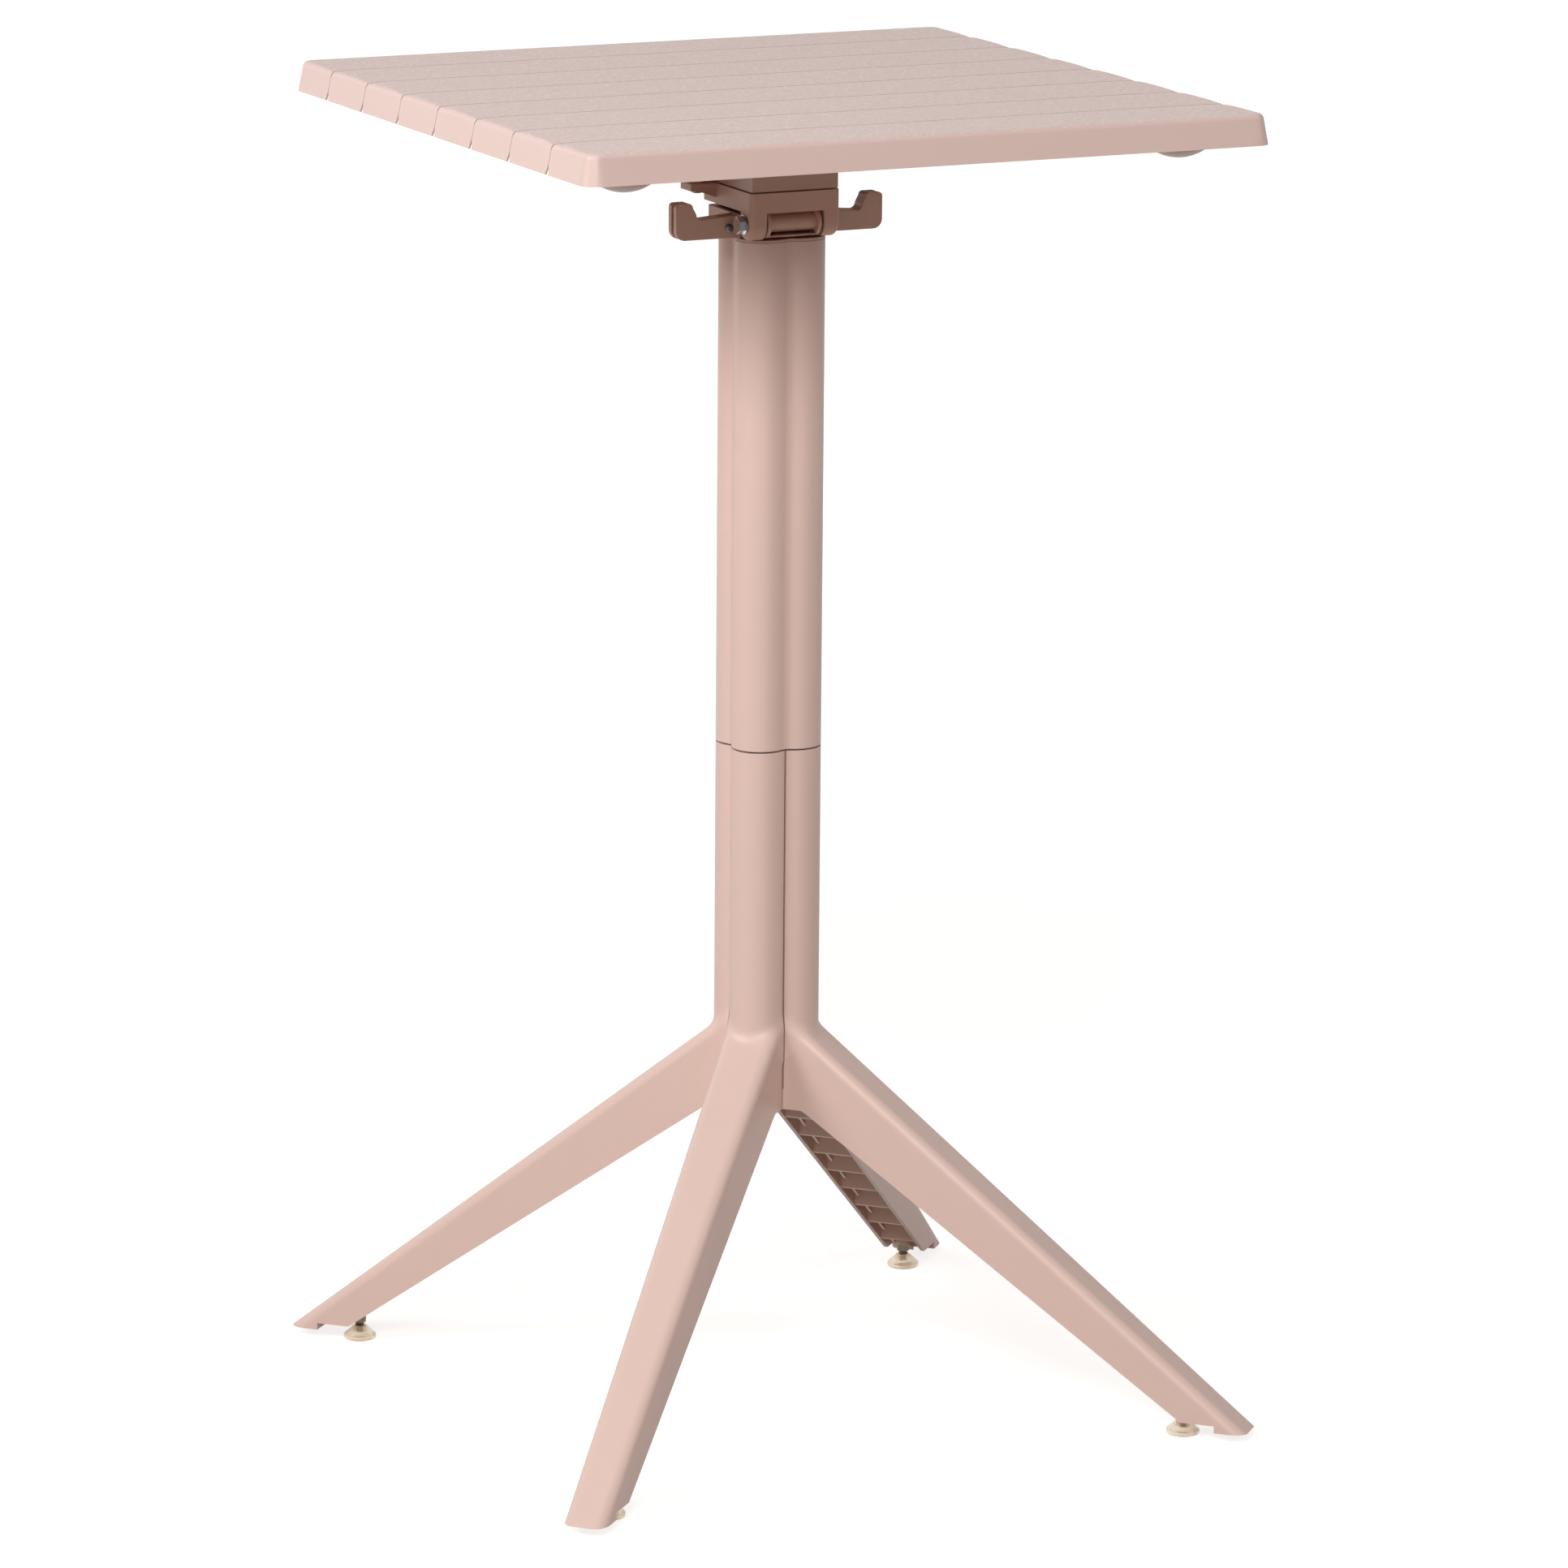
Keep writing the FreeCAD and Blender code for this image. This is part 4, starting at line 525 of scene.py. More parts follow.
@dataclass(frozen=True)
class WorkedMetal:
    """Plated or turned metal, with a painted reflection that makes it darker where it is seen square on."""

    name: str
    colour: Colour
    stain: Colour
    roughness: float
    # Share of the stain colour kept in the painted dark reflection.
    depth: float = 0.7
    relief: float = 0.04
    relief_depth: float = 0.0001
    facing_span: Span = (0.25, 0.6)

    def make(self) -> bpy.types.Material:
        """Build the material."""
        material, wiring, shader, where = new_material(self.name)
        skin = wiring.node("ShaderNodeGroup", ("Vector", where), ("Colour", opaque(self.colour)),
                           ("Stain", opaque(self.stain)), ("Roughness", self.roughness),
                           node_tree=MetalSkin().group()).outputs
        normal = wiring.bump(skin["Height"], self.relief, self.relief_depth)
        # Painted reflection: the darkened stain colour where the surface is seen square on.
        facing = wiring.node("ShaderNodeLayerWeight", ("Normal", normal)).outputs["Facing"]
        dark = opaque(self.stain, (self.depth,) * 3)
        wiring.join(shader, ("Roughness", skin["Roughness"]), ("Normal", normal), ("Metallic", 1.0),
                    ("Base Color", wiring.mix(wiring.ramp(facing, self.facing_span), dark, skin["Colour"])))
        return material


@dataclass(frozen=True)
class ClearPad:
    """Soft clear plastic of the foot pads, a little amber and scuffed underneath."""

    name: str
    colour: Colour
    cloud: Colour
    roughness: float = 0.16
    rougher: Span = (-0.06, 0.08)
    clearness: float = 0.7
    index: float = 1.5
    haze: Noise = Noise(90.0, 3.0, 0.6)
    haze_span: Span = (0.35, 0.7)
    scuff: Noise = Noise(900.0, 2.0, 0.6)
    scuff_span: Span = (0.3, 0.8)
    relief: float = 0.05
    relief_depth: float = 0.0002

    def make(self) -> bpy.types.Material:
        """Build the material."""
        material, wiring, shader, where = new_material(self.name)
        haze = wiring.noise(where, self.haze)
        colour = wiring.mix(wiring.ramp(haze, self.haze_span), opaque(self.colour), opaque(self.cloud))
        low, high = (self.roughness + change for change in self.rougher)
        wiring.join(shader, ("Base Color", colour), ("Transmission Weight", self.clearness), ("IOR", self.index),
                    ("Roughness", wiring.ramp(wiring.noise(where, self.scuff), self.scuff_span, (low, high))),
                    ("Normal", wiring.bump(haze, self.relief, self.relief_depth)))
        return material


@dataclass
class Finishes:
    """All finishes of the table, made once and looked up by slot."""

    made: dict[Slot, bpy.types.Material] = field(default_factory=dict)

    def build(self) -> None:
        """Make every material."""
        recipes = {
            # The top's dust colour is much lighter than its own: mostly a painted sheen on the planks.
            Slot.TOP: SlattedPlastic("taupe_top", (0.645, 0.478, 0.43), (0.615, 0.452, 0.405), (0.95, 0.83, 0.81),
                                     roughness=0.42, cloudiness=0.15),
            Slot.COLUMN: MouldedPlastic("taupe_column", (0.68, 0.495, 0.435), (0.655, 0.47, 0.41),
                                        (0.67, 0.52, 0.47), roughness=0.42, cloudiness=0.3),
            # The head's colour is darker and browner than the column's, partly as painted shade from under the
            # top.
            Slot.HEAD: MouldedPlastic("taupe_head", (0.605, 0.38, 0.298), (0.57, 0.352, 0.275),
                                      (0.61, 0.41, 0.33)),
            Slot.DARK: MouldedPlastic("dark_plastic", (0.045, 0.036, 0.032), (0.06, 0.05, 0.045),
                                      (0.12, 0.11, 0.10), roughness=0.45),
            Slot.PAD: ClearPad("amber_pad", (0.86, 0.66, 0.44), (0.94, 0.82, 0.66)),
            Slot.ZINC: WorkedMetal("zinc_plate", (0.33, 0.30, 0.28), (0.22, 0.19, 0.17), roughness=0.42),
            Slot.BRIGHT: WorkedMetal("bright_plate", (0.86, 0.86, 0.88), (0.50, 0.50, 0.52), roughness=0.14,
                                     depth=0.25, relief=0.3),
            Slot.TUBE: WorkedMetal("drawn_tube", (0.66, 0.66, 0.67), (0.55, 0.55, 0.55), roughness=0.32),
            Slot.BRASS: WorkedMetal("dull_brass", (0.36, 0.30, 0.22), (0.24, 0.20, 0.15), roughness=0.45),
        }
        for slot, recipe in recipes.items():
            self.made[slot] = recipe.make()

    def __getitem__(self, slot: Slot) -> bpy.types.Material:
        """Material of a slot."""
        return self.made[slot]


@dataclass(frozen=True)
class Lamp:
    """Square soft lamp that faces the table."""

    name: str
    place: Place
    size: float
    power: float
    aim: Place = (0.0, 0.0, 0.85)

    def hang(self) -> None:
        """Put the lamp in the scene."""
        data = bpy.data.lights.new(self.name, "AREA")
        data.size = self.size
        data.energy = self.power
        lamp = stand(self.name, data)
        lamp.location = self.place
        lamp.rotation_euler = (Vector(self.aim) - Vector(self.place)).to_track_quat("-Z", "Y").to_euler()


@dataclass
class Studio:
    """Camera at the photograph's angle, soft light, pale floor and white surround."""

    eye: Place = (-2.581, -5.418, 1.923)
    yaw: float = 25.6
    pitch: float = 13.14
    roll: float = 0.45
    lens: float = 170.2
    sensor: float = 36.0
    sight: float = 100.0
    ambient: float = 0.107
    ambient_tint: Colour = (1.0, 0.82, 0.72)
    floor_size: float = 40.0
    floor_tones: tuple[Colour, Colour] = ((0.43, 0.385, 0.355), (0.45, 0.405, 0.375))
    floor_noise: Noise = Noise(3.0, 3.0, 0.55)
    floor_span: Span = (0.3, 0.7)
    floor_roughness: float = 0.9
    floor_gloss: float = 0.1
    floor_glow: Span = (0.80, 1.0)
    floor_reach: Span = (1.2, 4.0)
    lamps: tuple[Lamp, ...] = (
        Lamp("left_softbox", (-4.0, -0.4, 3.2), size=1.8, power=128.0),
        Lamp("front_softbox", (-2.3, -4.0, 3.4), size=1.8, power=156.0),
        Lamp("right_softbox", (3.4, -2.8, 2.9), size=1.8, power=36.0),
        Lamp("back_softbox", (-1.7, 3.6, 1.8), size=2.0, power=16.0),
    )

    def build(self) -> None:
        """Place everything round the table."""
        self.camera()
        self.surround()
        self.floor()
        for lamp in self.lamps:
            lamp.hang()

    def camera(self) -> None:
        """Camera fitted to the photograph."""
        data = bpy.data.cameras.new("photo_camera")
        data.lens = self.lens
        data.sensor_width = self.sensor
        data.clip_end = self.sight
        camera = stand("photo_camera", data)
        turn = (Matrix.Rotation(math.radians(-self.yaw), 4, "Z")
                @ Matrix.Rotation(math.radians(90.0 - self.pitch), 4, "X")
                @ Matrix.Rotation(math.radians(self.roll), 4, "Z"))
        camera.matrix_world = Matrix.Translation(Vector(self.eye)) @ turn
        bpy.context.scene.camera = camera

    def seen(self, wiring: Wiring) -> Socket:
        """Mask of rays from the camera, from gloss and through clear plastic."""
        rays = wiring.node("ShaderNodeLightPath").outputs
        mask = wiring.math("MAXIMUM", rays["Is Camera Ray"], rays["Is Glossy Ray"])
        return wiring.math("MAXIMUM", mask, rays["Is Transmission Ray"])

    def surround(self) -> None:
        """White surround that lights the table at a plain level."""
        world = bpy.data.worlds.new("studio")
        bpy.context.scene.world = world
        world.use_nodes = True
        wiring = Wiring(world.node_tree)
        world.node_tree.nodes.clear()
        light, white = (wiring.node("ShaderNodeBackground", ("Color", opaque(colour)), ("Strength", level))
                        for colour, level in ((self.ambient_tint, self.ambient), (WHITE, 1.0)))
        mixed = wiring.node("ShaderNodeMixShader", (0, self.seen(wiring)), (1, light.outputs[0]),
                            (2, white.outputs[0]))
        wiring.node("ShaderNodeOutputWorld", ("Surface", mixed.outputs[0]))

    def floor(self) -> None:
        """Pale floor that keeps the shadow of the table."""
        half = self.floor_size / 2
        mesh = bpy.data.meshes.new("floor")
        corners = [(-half, -half, 0), (half, -half, 0), (half, half, 0), (-half, half, 0)]
        mesh.from_pydata(corners, [], [(0, 1, 2, 3)])
        floor = stand("floor", mesh)
        material, wiring, shader, where = new_material("pale_floor")
        tone = wiring.ramp(wiring.noise(where, self.floor_noise), self.floor_span)
        wiring.join(shader, ("Base Color", wiring.mix(tone, *map(opaque, self.floor_tones))),
                    ("Roughness", self.floor_roughness), ("Specular IOR Level", self.floor_gloss))
        away = wiring.node("ShaderNodeVectorMath", (0, where), operation="LENGTH").outputs["Value"]
        level = wiring.ramp(away, self.floor_reach, self.floor_glow)
        glow = wiring.node("ShaderNodeEmission", ("Color", opaque(WHITE)),
                           ("Strength", wiring.times(self.seen(wiring), level)))
        both = wiring.node("ShaderNodeAddShader", (0, shader.outputs[0]), (1, glow.outputs[0]))
        wiring.join(material.node_tree.nodes["Material Output"], ("Surface", both.outputs[0]))
        mesh.materials.append(material)


@dataclass
class SubAssembly:
    """Pieces of the table that are built and dressed together."""

    finishes: Finishes
    pieces: list[str] = field(default_factory=list)

    def build(self) -> None:
        """Build and dress all pieces."""
        raise NotImplementedError

    def finish_piece(self, piece: bpy.types.Object, body: str, slot: Slot, *nodes: str) -> None:
        """Say what a piece rides on and which solids it stands for.

        Args:
            piece: the finished object.
            body: name of the body it moves with.
            slot: its material slot; not used.
            nodes: names of the solids that it replaces.
        """
        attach(piece, body)
        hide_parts(*nodes)
        self.pieces.append(piece.name)
        LOG.info("piece %s: %d faces", piece.name, len(piece.data.polygons))

    def eased(self, node: str, body: str, slot: Slot, edge: float) -> None:
        """Put a copy of a solid with eased edges and even shading in place of the solid."""
        self.ease(merged_copy(node), node, body, slot, edge)

    def ease(self, shape: bmesh.types.BMesh, node: str, body: str, slot: Slot, edge: float) -> bpy.types.Mesh:
        """Turn a mesh that stands for a solid into a finished piece.

        Args:
            shape: the mesh, which is freed.
            node: name of the solid.
            body: name of the body it moves with.
            slot: its material slot.
            edge: width of the eased edges.

        Returns:
            The finished mesh.
        """
        mesh = bpy.data.meshes.new(f"{node}_eased")
        shape.to_mesh(mesh)
        shape.free()
        piece = stand(f"{node}_eased", mesh)
        mesh.materials.append(self.finishes[slot])
        mesh.shade_smooth()
        bevel = piece.modifiers.new("ease", "BEVEL")
        bevel.width = edge
        bevel.segments = EASE_SEGMENTS
        bevel.limit_method = "ANGLE"
        bevel.angle_limit = math.radians(SHARP_ANGLE)
        bevel.miter_outer = "MITER_ARC"
        even = piece.modifiers.new("even", "WEIGHTED_NORMAL")
        even.weight = EVEN_WEIGHT
        settle(piece)
        self.finish_piece(piece, body, slot, node)
        return piece.data


@dataclass
class TableTop(SubAssembly):
    """Slatted top with its rim, ribs, corner bosses and hub."""

    edge: float = 0.0004
    half_side: float = 0.3
    plank: float = PLANK_PITCH
    grooves_aside: int = 3
    groove_cuts: tuple[float, ...] = (-0.3, -0.12, 0.12, 0.3)
    end_zone: float = 0.028
    end_cuts: tuple[float, ...] = (1.0, 0.7, 0.4)
    end_drop: float = 0.0016
    skin: float = 0.009

    def build(self) -> None:
        """Build the top."""
        shape = merged_copy("table_top")
        self.round_planks(shape)
        self.ease(shape, "table_top", Body.TOP.value, Slot.TOP, self.edge)

    def round_planks(self, shape: bmesh.types.BMesh) -> None:
        """Let each plank's end fall away towards the grooves beside it, close to the rim.

        Args:
            shape: mesh of the top.
        """
        under = max(vert.co.z for vert in shape.verts) - self.skin
        near = [face for face in shape.faces
                if min(vert.co.z for vert in face.verts) > under
                and max(abs(vert.co.x) for vert in face.verts) > self.half_side - self.end_zone]
        bmesh.ops.triangulate(shape, faces=near)
        cuts = [((side * (self.half_side - share * self.end_zone), 0.0, 0.0), (1.0, 0.0, 0.0))
                for side in (-1, 1) for share in self.end_cuts]
        cuts += [((0.0, (step + share) * self.plank, 0.0), (0.0, 1.0, 0.0))
                 for step in range(-self.grooves_aside, self.grooves_aside + 1) for share in self.groove_cuts]
        cut_faces(shape, cuts, lambda at: at.z > under)
        for vert in shape.verts:
            if vert.co.z < under or abs(vert.co.y) > (self.grooves_aside + 0.5) * self.plank:
                continue
            out = (abs(vert.co.x) - self.half_side + self.end_zone) / self.end_zone
            aside = abs(vert.co.y / self.plank - round(vert.co.y / self.plank))
            vert.co.z -= self.end_drop * max(0.0, min(1.0, out)) ** 2 * (1.0 - 2.0 * aside) ** 3


@dataclass(frozen=True)
class CrossScrew:
    """Pan-head screw with a cross recess, standing along Z with its head up."""

    head: float
    head_height: float
    shank: float
    length: float
    recess: float
    recess_width: float
    recess_depth: float
    tip: float = 0.45
    dome: tuple[Span, ...] = ((0.97, 0.0), (1.0, 0.25), (0.96, 0.55), (0.80, 0.85), (0.45, 0.98), (0.0, 1.0))
    floors: Span = (1.0, 0.95)
    around: int = 28

    def tree(self, name: str, turn: Place) -> SizedTree:
        """Tree that sets a screw on each place.

        Args:
            name: name of the tree.
            turn: turn of the screws, in radians about X, Y and Z.

        Returns:
            The finished tree.
        """
        made = SizedTree(name, {
            "Head": self.head, "Head Height": self.head_height, "Shank": self.shank, "Length": self.length,
            "Recess": self.recess, "Recess Width": self.recess_width, "Recess Depth": self.recess_depth,
        })
        given = made.given
        end = made.times(given["Length"], -1.0)
        outline = [(0.0, end), (made.times(given["Shank"], self.tip), end),
                   (given["Shank"], made.math("ADD", end, given["Shank"])), (given["Shank"], 0.0)]
        outline += [(made.times(given["Head"], wide), made.times(given["Head Height"], tall))
                    for wide, tall in self.dome]
        screw = made.turned(outline, self.around)
        arms = made.node("GeometryNodeMeshBoolean", ("Mesh 1", screw), operation="DIFFERENCE")
        # The floors of the two bars lie at two depths, because faces in one plane spoil the cut.
        bars = ((given["Recess"], given["Recess Width"]), (given["Recess Width"], given["Recess"]))
        for (across, along), floor in zip(bars, self.floors):
            tall = made.times(given["Recess Depth"], 2.0 * floor)
            size = made.node("ShaderNodeCombineXYZ", ("X", across), ("Y", along), ("Z", tall))
            bar = made.node("GeometryNodeMeshCube", ("Size", size.outputs[0]))
            lift = made.node("ShaderNodeCombineXYZ", ("Z", given["Head Height"]))
            placed = made.node("GeometryNodeTransform", ("Geometry", bar.outputs[0]),
                               ("Translation", lift.outputs[0]))
            made.feed(arms.inputs["Mesh 2"], placed.outputs[0])
        set_on = made.node("GeometryNodeInstanceOnPoints", ("Points", given["Places"]),
                           ("Instance", arms.outputs[0]), ("Rotation", turn))
        made.end(set_on.outputs[0])
        return made


@dataclass
class TiltHead(SubAssembly):
    """Forked bracket, its fasteners, the column head, the bag hooks and the latch."""

    moulded_edge: float = 0.0006
    metal_edge: float = 0.0003
    bracket_screw: CrossScrew = CrossScrew(
        head=0.0048, head_height=0.0032, shank=0.0025, length=0.018,
        recess=0.0052, recess_width=0.0012, recess_depth=0.0014)
    hook_screw: CrossScrew = CrossScrew(
        head=0.0038, head_height=0.0024, shank=0.0020, length=0.015,
        recess=0.0042, recess_width=0.0010, recess_depth=0.0012)

    def build(self) -> None:
        """Build the bracket, the head and what is fixed to them."""
        self.eased("tilt_bracket", Body.TOP.value, Slot.HEAD, self.moulded_edge)
        self.eased("latch_lever", Body.LATCH.value, Slot.HEAD, self.moulded_edge)
        for node in ("column_head", "hook_left", "hook_right"):
            self.eased(node, Body.BASE.value, Slot.HEAD, self.moulded_edge)
        for node in ("pivot_bolt", "pivot_nut", "pivot_washers"):
            self.eased(node, Body.TOP.value, Slot.BRIGHT, self.metal_edge)
        self.eased("friction_washers", Body.BASE.value, Slot.DARK, self.metal_edge)
        self.eased("latch_pin", Body.TOP.value, Slot.ZINC, self.metal_edge)
        self.screws()

    def screws(self) -> None:
        """Set the screws: heads down under the bracket, heads forward in the hooks."""
        for screw, name, axis, turn, body in (
                (self.bracket_screw, "bracket_screw", 2, math.pi, Body.TOP),
                (self.hook_screw, "hook_screw", 1, math.pi / 2, Body.BASE)):
            places = []
            for low, high in loose_boxes(f"{name}s"):
                place = Vector([(low[i] + high[i]) / 2 for i in range(3)])
                place[axis] = low[axis] + screw.head_height
                places.append(place)
            tree = screw.tree(f"{name}s", (turn, 0.0, 0.0))
            piece = tree.piece(f"{name}_set", self.finishes[Slot.ZINC], places)
            self.finish_piece(piece, body.value, Slot.ZINC, f"{name}s")


@dataclass
class Column(SubAssembly):
    """Lobed column, its joint and the rod and tube inside it."""

    lobe_radius: float = LOBE_RADIUS
    lobe_offset: float = LOBE_OFFSET
    valley_radius: float = 0.008
    wall: float = 0.0035
    eased_end: float = 0.0006
    around: int = 320
    metal_edge: float = 0.0003

    def build(self) -> None:
        """Build the column."""
        self.lobed_tube()
        for node, slot in (("joining_collar", Slot.DARK), ("core_tube", Slot.TUBE), ("core_cap", Slot.DARK),
                           ("clamp_plate", Slot.ZINC), ("tie_rod", Slot.ZINC), ("tie_rod_nuts", Slot.ZINC),
                           ("tie_rod_washer", Slot.ZINC)):
            self.eased(node, Body.BASE.value, slot, self.metal_edge)

    def outline(self, tree: SizedTree, angle: Socket) -> Socket:
        """Radius of the lobed outline at an angle: round lobes on the diagonals, hollows between them.

        Args:
            tree: the tree that it is worked out in.
            angle: angle about the column.

        Returns:
            The radius.
        """
        lobe, offset, hollow = (tree.given[name] for name in ("Lobe Radius", "Lobe Offset", "Valley Radius"))
        side = tree.times(offset, math.sqrt(0.5))
        span = tree.math("ADD", lobe, hollow)
        reach = tree.math("SQRT", tree.math("SUBTRACT", tree.times(span, span), tree.times(side, side)))
        centre = tree.math("ADD", side, reach)
        share = tree.math("DIVIDE", hollow, span)
        meet_far = tree.math("SUBTRACT", centre, tree.times(reach, share))
        meet = tree.math("ARCTAN2", tree.times(side, share), meet_far)
        turn = tree.math("PINGPONG", angle, math.pi / 4)
        from_lobe = tree.math("SUBTRACT", math.pi / 4, turn)
        on_lobe = tree.math("ADD", tree.times(offset, tree.math("COSINE", from_lobe)),
                            self.half_chord(tree, lobe, offset, from_lobe))
        in_hollow = tree.math("SUBTRACT", tree.times(centre, tree.math("COSINE", turn)),
                              self.half_chord(tree, hollow, centre, turn))
        past = tree.math("LESS_THAN", turn, meet)
        step = tree.math("SUBTRACT", in_hollow, on_lobe)
        return tree.math("MULTIPLY_ADD", step, past, on_lobe)

    def half_chord(self, tree: SizedTree, radius: Socket, centre: Socket, turn: Socket) -> Socket:
        """Half the chord that a ray from the axis cuts from a circle."""
        away = tree.times(centre, tree.math("SINE", turn))
        return tree.math("SQRT", tree.math("SUBTRACT", tree.times(radius, radius), tree.times(away, away)))

    def lobed_tube(self) -> None:
        """Build the upper column from the rule of its outline."""
        low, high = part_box("upper_column")
        tree = SizedTree("lobed_column", {
            "Lobe Radius": self.lobe_radius, "Lobe Offset": self.lobe_offset, "Valley Radius": self.valley_radius,
            "Wall": self.wall, "Eased End": self.eased_end, "Foot": low.z, "Top": high.z,
        })
        wall, ease, foot, top = (tree.given[name] for name in ("Wall", "Eased End", "Foot", "Top"))
        above = tree.math("ADD", foot, ease)
        below = tree.math("SUBTRACT", top, ease)
        insets = [ease, 0.0, 0.0, ease, wall, wall, ease]
        heights = [foot, above, below, top, top, foot, foot]
        grid, row, angle = tree.sheet(self.around, len(insets))
        radius = tree.math("SUBTRACT", self.outline(tree, angle), tree.pick(row, insets))
        tree.end(tree.bend(grid, radius, angle, tree.pick(row, heights)))
        piece = tree.piece("upper_column_lobed", self.finishes[Slot.COLUMN], [])
        self.finish_piece(piece, Body.BASE.value, Slot.COLUMN, "upper_column")


@dataclass
class Legs(SubAssembly):
    """Four channel legs that cluster into the lower column."""

    edge: float = 0.0006
    lobe_radius: float = LOBE_RADIUS
    lobe_offset: float = LOBE_OFFSET
    slope: float = math.radians(38.5)
    narrowing: float = 0.0125
    shoulder: float = 0.009
    skin: float = 0.0003
    wall_skin: float = 0.001
    crotch: Span = (0.040, 0.250)
    lip: Span = (0.0015, 0.012)
    knee_height: float = 0.3135
    knee_back: float = 0.012
    # Heights from the knee within which the skin is moved, cut, ended, divided and looked for.
    knee_zone: float = 0.024
    knee_cut: float = 0.0255
    knee_end: float = 0.026
    knee_strip: float = 0.027
    knee_reach: float = 0.3
    long_step: float = 0.002
    up_steps: range = range(-9, 12)
    run_steps: range = range(-6, 9)
    side_step: float = 0.003
    side_steps: range = range(-6, 7)
    blend: float = 0.0065
    blend_rounds: int = 12

    def build(self) -> None:
        """Build the legs."""
        for corner in Corner:
            shape = merged_copy(corner.leg)
            self.round_knee(shape, corner)
            mesh = self.ease(shape, corner.leg, Body.BASE.value, Slot.COLUMN, self.edge)
            # The cells of the channel get painted shade through this attribute.
            hollow = mesh.attributes.new(PAINTED_SHADE, "FLOAT", "POINT")
            hollow.data.foreach_set("value", [self.hollow(self.local(vert.co, corner)) for vert in mesh.vertices])

    def local(self, at: Vector, corner: Corner) -> Vector:
        """Place along, across and above the floor, seen from the leg's own side."""
        out = corner.outward
        return Vector((at.x * out.x + at.y * out.y, at.y * out.x - at.x * out.y, at.z))

    def from_lobe(self, at: Vector) -> float:
        """Distance outside the lobe of the column."""
        return math.hypot(at.x - self.lobe_offset, at.y) - self.lobe_radius

    def from_arm(self, at: Vector) -> float:
        """Distance outside the arm with its rounded shoulders."""
        out = at.x - self.lobe_offset - self.lobe_radius
        up = at.z - self.knee_height
        along = out * math.cos(self.slope) - up * math.sin(self.slope)
        above = out * math.sin(self.slope) + up * math.cos(self.slope) + self.shoulder
        beside = abs(at.y) - (self.lobe_radius - self.narrowing * along) + self.shoulder
        corner = math.hypot(max(beside, 0.0), max(above, 0.0))
        return corner + min(max(beside, above), 0.0) - self.shoulder

    def hollow(self, at: Vector) -> float:
        """Share of the painted shade inside the channel: none on the skin and the lips, full up in the cells."""
        if min(self.from_lobe(at), self.from_arm(at)) > -self.wall_skin:
            return 0.0
        start, level = self.crotch
        fall = math.tan(self.slope) * (at.x - start)
        above = (at.z - level + max(fall, 0.0)) * math.cos(self.slope)
        return max(0.0, min(1.0, (above - self.lip[0]) / (self.lip[1] - self.lip[0])))

    def round_knee(self, shape: bmesh.types.BMesh, corner: Corner) -> None:
        """Blend the lobe into the crown of the arm with a hollow round.

        Args:
            shape: mesh of the leg.
            corner: corner that the leg points to.
        """
        out = corner.outward
        up = Vector((0.0, 0.0, 1.0))
        across = Vector((-out.y, out.x, 0.0))
        knee = Vector((*(out.xy * (self.lobe_offset + self.lobe_radius)), self.knee_height))
        run = Vector((*(out.xy * math.cos(self.slope)), -math.sin(self.slope)))
        # The long strips are cut off at the ends first, so that only short faces are divided.
        ends = [(knee + up * self.knee_end, up), (knee + run * self.knee_end, run)]
        cut_faces(shape, ends, lambda at: self.at_knee(self.local(at, corner), self.knee_reach))
        near = [face for face in shape.faces
                if all(self.at_knee(self.local(vert.co, corner), self.knee_strip) for vert in face.verts)]
        bmesh.ops.triangulate(shape, faces=near)
        cuts = [(knee + up * self.long_step * step, up) for step in self.up_steps]
        cuts += [(knee + run * self.long_step * step, run) for step in self.run_steps]
        cuts += [(across * self.side_step * step, across) for step in self.side_steps]
        cut_faces(shape, cuts, lambda at: self.at_knee(self.local(at, corner), self.knee_cut))
        for vert in shape.verts:
            at = self.local(vert.co, corner)
            if self.at_knee(at, self.knee_zone) and abs(min(self.from_lobe(at), self.from_arm(at))) < self.skin:
                moved = self.blended(at)
                vert.co = out * moved.x + across * moved.y + up * moved.z

    def at_knee(self, at: Vector, zone: float) -> bool:
        """Whether a place lies close to the knee."""
        return abs(at.z - self.knee_height) < zone and at.x > self.lobe_offset - self.knee_back

    def blended(self, at: Vector) -> Vector:
        """Place on the blended skin that belongs to a place on the plain skin."""
        lobe_way = Vector((at.x - self.lobe_offset, at.y, 0.0)).normalized()
        arm_way = Vector((math.sin(self.slope), 0.0, math.cos(self.slope)))
        way = (lobe_way + arm_way).normalized()
        moved = at.copy()
        for _ in range(self.blend_rounds):
            first, second = self.from_lobe(moved), self.from_arm(moved)
            share = max(self.blend - abs(first - second), 0.0)
            moved -= way * (min(first, second) - share * share / (4 * self.blend))
        return moved


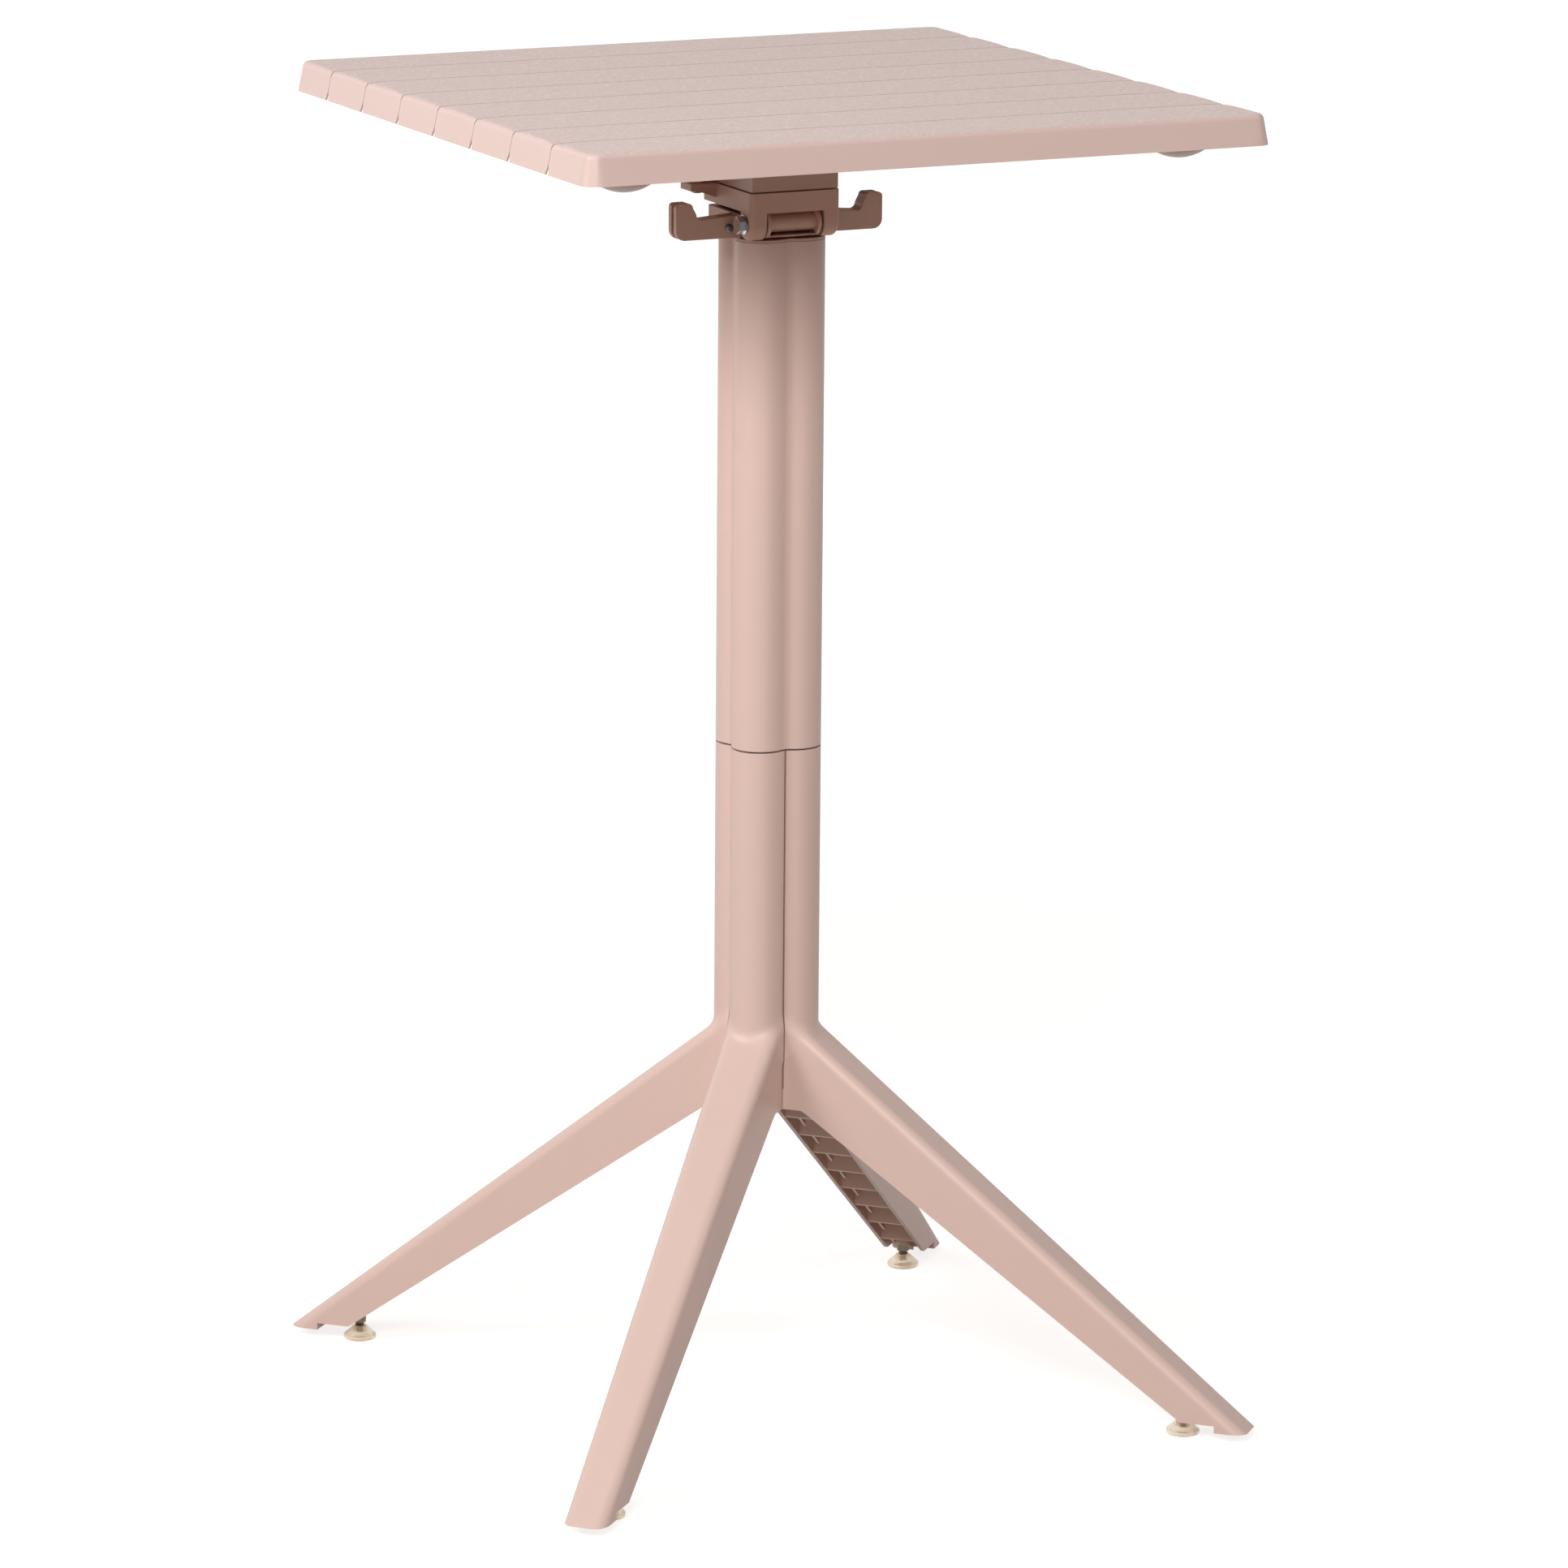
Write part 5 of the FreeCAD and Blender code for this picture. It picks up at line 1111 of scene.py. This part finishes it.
@dataclass
class Feet(SubAssembly):
    """Screw feet: inserts in the legs, threaded stems and clear pads."""

    thread_pitch: float = 0.00125
    thread_depth: float = 0.00065
    steps_per_turn: int = 6
    around: int = 20
    insert_edge: float = 0.0002
    pad_edge: float = 0.0004

    def build(self) -> None:
        """Build the feet."""
        self.eased("foot_inserts", Body.BASE.value, Slot.BRASS, self.insert_edge)
        for corner in Corner:
            self.stem(corner)
            self.eased(f"foot_pad_{corner.value}", corner.foot, Slot.PAD, self.pad_edge)

    def stem(self, corner: Corner) -> None:
        """Build a stem with its thread."""
        node = f"foot_stem_{corner.value}"
        low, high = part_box(node)
        tree = SizedTree(node, {
            "Radius": (high.x - low.x) / 2, "Pitch": self.thread_pitch, "Depth": self.thread_depth, "Foot": low.z,
            "Length": high.z - low.z, "Across": (low.x + high.x) / 2, "Along": (low.y + high.y) / 2,
        })
        given = tree.given
        # One more row at each end closes the stem on its axis.
        rows = round((high.z - low.z) / self.thread_pitch * self.steps_per_turn)
        grid, row, angle = tree.sheet(self.around, rows + 3)
        inner = tree.math("MAXIMUM", tree.math("SUBTRACT", row, 1.0), 0.0)
        share = tree.math("DIVIDE", tree.math("MINIMUM", inner, float(rows)), float(rows))
        height = tree.times(given["Length"], share)
        phase = tree.math("SUBTRACT", tree.math("DIVIDE", height, given["Pitch"]),
                          tree.math("DIVIDE", angle, math.tau))
        wave = tree.times(tree.math("PINGPONG", phase, 0.5), 2.0)
        thread = tree.math("SUBTRACT", given["Radius"], tree.times(given["Depth"], wave))
        first = tree.math("GREATER_THAN", row, 0.5)
        last = tree.math("LESS_THAN", row, rows + 1.5)
        radius = tree.times(thread, tree.times(first, last))
        shape = tree.bend(grid, radius, angle, height)
        place = tree.node("ShaderNodeCombineXYZ", ("X", given["Across"]), ("Y", given["Along"]),
                          ("Z", given["Foot"]))
        moved = tree.node("GeometryNodeTransform", ("Geometry", shape), ("Translation", place.outputs[0]))
        tree.end(moved.outputs[0])
        piece = tree.piece(f"{node}_threaded", self.finishes[Slot.ZINC], [])
        self.finish_piece(piece, corner.foot, Slot.ZINC, node)


def main() -> None:
    """Build the studio and the table."""
    logging.basicConfig(level=logging.INFO, format="%(message)s")
    bpy.context.scene.view_settings.view_transform = "Standard"
    Studio().build()
    finishes = Finishes()
    finishes.build()
    for kind in (TableTop, TiltHead, Column, Legs, Feet):
        part = kind(finishes)
        part.build()
        LOG.info("%s: %d pieces", kind.__name__, len(part.pieces))


if __name__ == "__main__":
    main()
